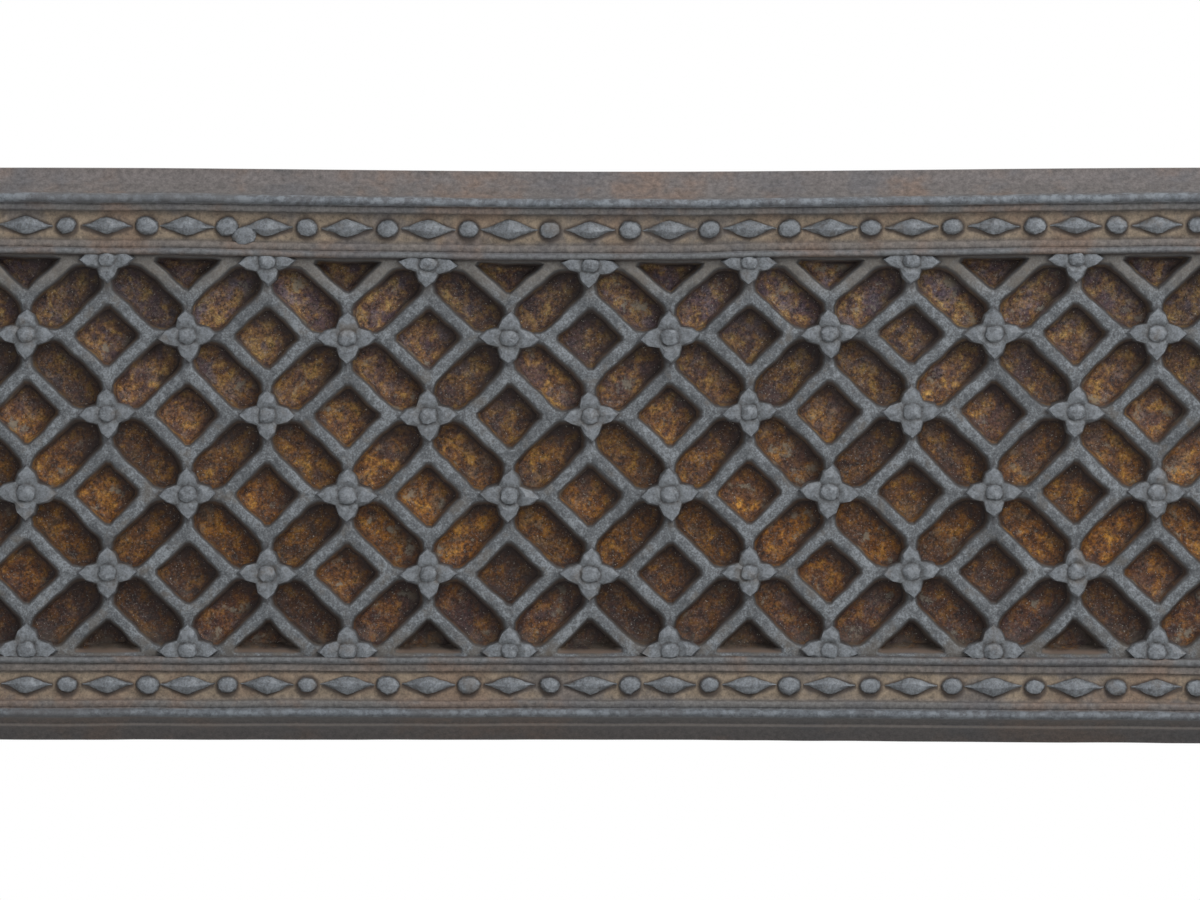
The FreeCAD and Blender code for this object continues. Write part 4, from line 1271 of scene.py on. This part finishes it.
def boltShape():
    half = squareBolt["half"]
    blunt = half - squareBolt["corner"]
    height = squareBolt["height"]
    cut = squareBolt["chamfer"]
    outline = []
    for wayX, wayZ in ((1, 1), (-1, 1), (-1, -1), (1, -1)):
        corner = [(wayX * half, wayZ * blunt), (wayX * blunt, wayZ * half)]
        outline += corner if wayX * wayZ > 0 else corner[::-1]
    turns = [way + math.pi / len(outline) for way in fullTurn(len(outline))]
    shank = [(squareBolt["shank"] * math.cos(way), squareBolt["shank"] * math.sin(way)) for way in turns]
    crown = [(x * (half - cut) / half, y * (half - cut) / half) for x, y in outline]
    foot = [(x * squareBolt["footShare"], y * squareBolt["footShare"]) for x, y in outline]
    levels = [(crown, height), (outline, height - cut * squareBolt["chamferSlope"]),
              (outline, squareBolt["foot"]), (foot, 0.0), (shank, 0.0), (shank, -squareBolt["shankLength"])]
    rings = [[(x, y, level) for x, y in ring] for ring, level in levels]
    return ringShape("boltShape", rings, [[1.0] * len(outline)] * len(rings), height + squareBolt["crown"])


# Round rivet heads along the lower leaf's bar, rings as (reach, height)
rivetHead = {"rings": [(2.0, 1.1), (3.8, 0.75), (4.8, 0.2), (4.9, 0.0), (2.45, -0.02), (2.45, -7.3)],
             "steps": 14, "tip": 1.2, "xPlaces": [-280, -200, -120, -40, 40, 120, 200, 280], "z": 572.0,
             "turn": 3.0, "swell": 0.03, "roughness": 0.15, "seed": 9}
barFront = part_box("lower_leaf_bar")[0].y / mm


def rivetShape():
    rings = roundRings(rivetHead["rings"], rivetHead["steps"])
    return ringShape("rivetShape", rings, [[1.0] * rivetHead["steps"]] * len(rings), rivetHead["tip"])


# Heads are scattered lying flat, then stood up facing the back (way 1) or the front (way -1)
def stoodUp(mesh, way):
    x, z, y = readSpots(mesh).T
    writeSpots(mesh, np.stack([x, way * y, z], axis=1) * mm)
    outward(mesh)
    smoothed(mesh, "heads")
    return mesh


boltPlaces = []
for bolts in boltGroups.values():
    for x, z in bolts["places"]:
        for side in (1, -1):
            boltPlaces.append((side * x, z, panel["back"] + bolts["seat"]))
boltMesh = scattered(boltPlaces, boltShape(), plainFinishes["fastenerSteel"], squareBolt, squareBolt["seed"])
boltPiece = newPiece("square_bolts", stoodUp(boltMesh, 1))
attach(boltPiece, "frame")
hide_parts("corner_bolts", "rail_bolts", "header_bolts", "strap_bolts")

rivetPlaces = [(x, rivetHead["z"], -barFront) for x in rivetHead["xPlaces"]]
rivetMesh = scattered(rivetPlaces, rivetShape(), plainFinishes["fastenerSteel"], rivetHead, rivetHead["seed"])
rivetPiece = newPiece("bar_rivet_heads", stoodUp(rivetMesh, -1))
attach(rivetPiece, "lower_shutter")
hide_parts("bar_rivets")
for slot in nodes["bracket_rivets"].material_slots:
    slot.material = plainFinishes["fastenerSteel"]
print("bolts", len(boltPlaces), "rivets", len(rivetPlaces))

# Turned pulls as (radius, distance in front of the bracket's back)
pull = {"profile": [(0.0, -1.0), (2.6, -1.0), (3.7, -0.6), (4.0, 0.0), (2.5, 0.02), (2.5, 2.4), (5.4, 2.42),
                    (5.8, 2.8), (5.6, 3.7), (4.2, 4.3), (3.5, 5.4), (3.3, 7.2), (3.4, 8.6), (4.4, 9.3),
                    (4.7, 9.9), (4.4, 10.5), (3.9, 10.8), (5.6, 12.1), (7.2, 14.2), (8.2, 16.6), (8.5, 19.0),
                    (8.2, 21.3), (7.2, 23.6), (5.6, 25.4), (3.6, 26.7), (1.7, 27.35), (0.0, 27.5)],
        "steps": 32, "tail": 1.0}


def pullMesh(node):
    low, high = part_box(node)
    centre = (low + high) / 2
    back = high.y / mm - pull["tail"]
    edit = bmesh.new()
    rings = []
    for radius, reach in pull["profile"]:
        ring = []
        for way in fullTurn(pull["steps"]) if radius > 0 else [0.0]:
            ring.append(edit.verts.new((centre.x + radius * mm * math.cos(way), (back - reach) * mm,
                                        centre.z + radius * mm * math.sin(way))))
        rings.append(ring)
    for ring, ahead in zip(rings, rings[1:]):
        for step in range(pull["steps"]):
            corners = [ring[step % len(ring)], ring[(step + 1) % len(ring)],
                       ahead[(step + 1) % len(ahead)], ahead[step % len(ahead)]]
            edit.faces.new(list(dict.fromkeys(corners)))
    bmesh.ops.recalc_face_normals(edit, faces=edit.faces)
    mesh = bpy.data.meshes.new(node + "_turned")
    edit.to_mesh(mesh)
    edit.free()
    mesh.materials.append(plainFinishes["knobIron"])
    smoothed(mesh, "pulls")
    return mesh


for node in ("left_pull_knob", "right_pull_knob"):
    piece = newPiece(node + "_turned", pullMesh(node))
    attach(piece, "lower_shutter")
    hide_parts(node)
print("pulls turned")

# Studio: pale floor, soft light from above and the right, white behind
studio = {"floorReach": 3.2, "floorSteps": 64, "floorLevel": -0.0006, "floorColour": shade(232, 232, 230),
          "floorMottle": shade(222, 222, 220), "mottleScale": 3.0, "mottleShare": 0.2, "floorRoughness": 0.85,
          "pale": 0.45, "fadeFrom": 0.8, "fadeTo": 2.4,
          "keyPlace": (1.1, -1.5, 2.2), "keySize": 1.8, "keyPower": 35.0, "aim": (0.0, 0.0, 0.6),
          "overhead": 0.35, "horizon": 0.19, "below": 0.06}
white = (1, 1, 1, 1)


# Rays that should see white: straight from the camera, or by a mirror or glass
def seesWhite(start):
    seen = start.node("ShaderNodeLightPath", {}, {}, 0)
    for way in (3, 6):
        seen = start.reckon("MAXIMUM", seen, start.node("ShaderNodeLightPath", {}, {}, way))
    return seen


floorMesh = bpy.data.meshes.new("studio_floor")
floorMesh.from_pydata([(studio["floorReach"] * math.cos(turn), studio["floorReach"] * math.sin(turn),
                        studio["floorLevel"]) for turn in fullTurn(studio["floorSteps"])],
                      [], [tuple(range(studio["floorSteps"]))])
floorFinish, start = newFinish("paleFloor")
place = objectPlace(start)
mottle = noise(place, studio["mottleScale"], 3) * studio["mottleShare"]
floorColour = mixed(mottle, studio["floorColour"], studio["floorMottle"])
paleFloor = start.node("ShaderNodeBsdfPrincipled", {},
                       {"Base Color": floorColour, "Roughness": studio["floorRoughness"]})
away = start.node("ShaderNodeVectorMath", {"operation": "LENGTH"}, {0: place}, 1)
fade = between(away, studio["fadeFrom"], studio["fadeTo"]) * (1 - studio["pale"]) + studio["pale"]
whiteLight = start.node("ShaderNodeEmission", {}, {"Color": white, "Strength": 1.0})
surface = start.node("ShaderNodeMixShader", {}, {0: fade * seesWhite(start), 1: paleFloor, 2: whiteLight})
start.node("ShaderNodeOutputMaterial", {}, {"Surface": surface})
floorMesh.materials.append(floorFinish)
newPiece("studio_floor", floorMesh)

world = bpy.data.worlds.new("whiteStudio")
scene.world = world
world.use_nodes = True
world.node_tree.nodes.clear()
start = Lead(world.node_tree)
rise = start.node("ShaderNodeSeparateXYZ", {}, {0: start.node("ShaderNodeTexCoord", {}, {}, 0)}, 2)
sky = ramp(rise * 0.5 + 0.5, [(height, (studio[level],) * 3 + (1,))
                              for height, level in ((0.0, "below"), (0.5, "horizon"), (0.75, "overhead"))])
light = start.node("ShaderNodeBackground", {}, {"Color": sky, "Strength": 1.0})
whiteWall = start.node("ShaderNodeBackground", {}, {"Color": white, "Strength": 1.0})
whole = start.node("ShaderNodeMixShader", {}, {0: seesWhite(start), 1: light, 2: whiteWall})
start.node("ShaderNodeOutputWorld", {}, {"Surface": whole})

keyLight = bpy.data.lights.new("softKey", "AREA")
keyLight.shape = "SQUARE"
keyLight.size = studio["keySize"]
keyLight.energy = studio["keyPower"]
key = bpy.data.objects.new("softKey", keyLight)
key.location = studio["keyPlace"]
key.rotation_euler = (Vector(studio["aim"]) - Vector(studio["keyPlace"])).to_track_quat("-Z", "Y").to_euler()
key.visible_camera = False
scene.collection.objects.link(key)

# Camera a little above the lintel, as in the photograph
shot = {"x": 0.0035, "z": 0.6605, "distance": 3.2, "tilt": math.radians(1.7), "width": 0.4159,
        "sensor": 36.0, "far": 100.0}
camera = bpy.data.cameras.new("photoCamera")
camera.sensor_width = shot["sensor"]
camera.lens = shot["sensor"] * shot["distance"] / shot["width"]
camera.clip_end = shot["far"]
eye = bpy.data.objects.new("photoCamera", camera)
fieldFront = (panel["back"] - lattice["fieldHeight"]) * mm
eye.location = (shot["x"], fieldFront - shot["distance"] * math.cos(shot["tilt"]),
                shot["z"] + shot["distance"] * math.sin(shot["tilt"]))
eye.rotation_euler = (math.radians(90) - shot["tilt"], 0, 0)
scene.collection.objects.link(eye)
scene.camera = eye
scene.view_settings.view_transform = "Standard"
print("studio set")
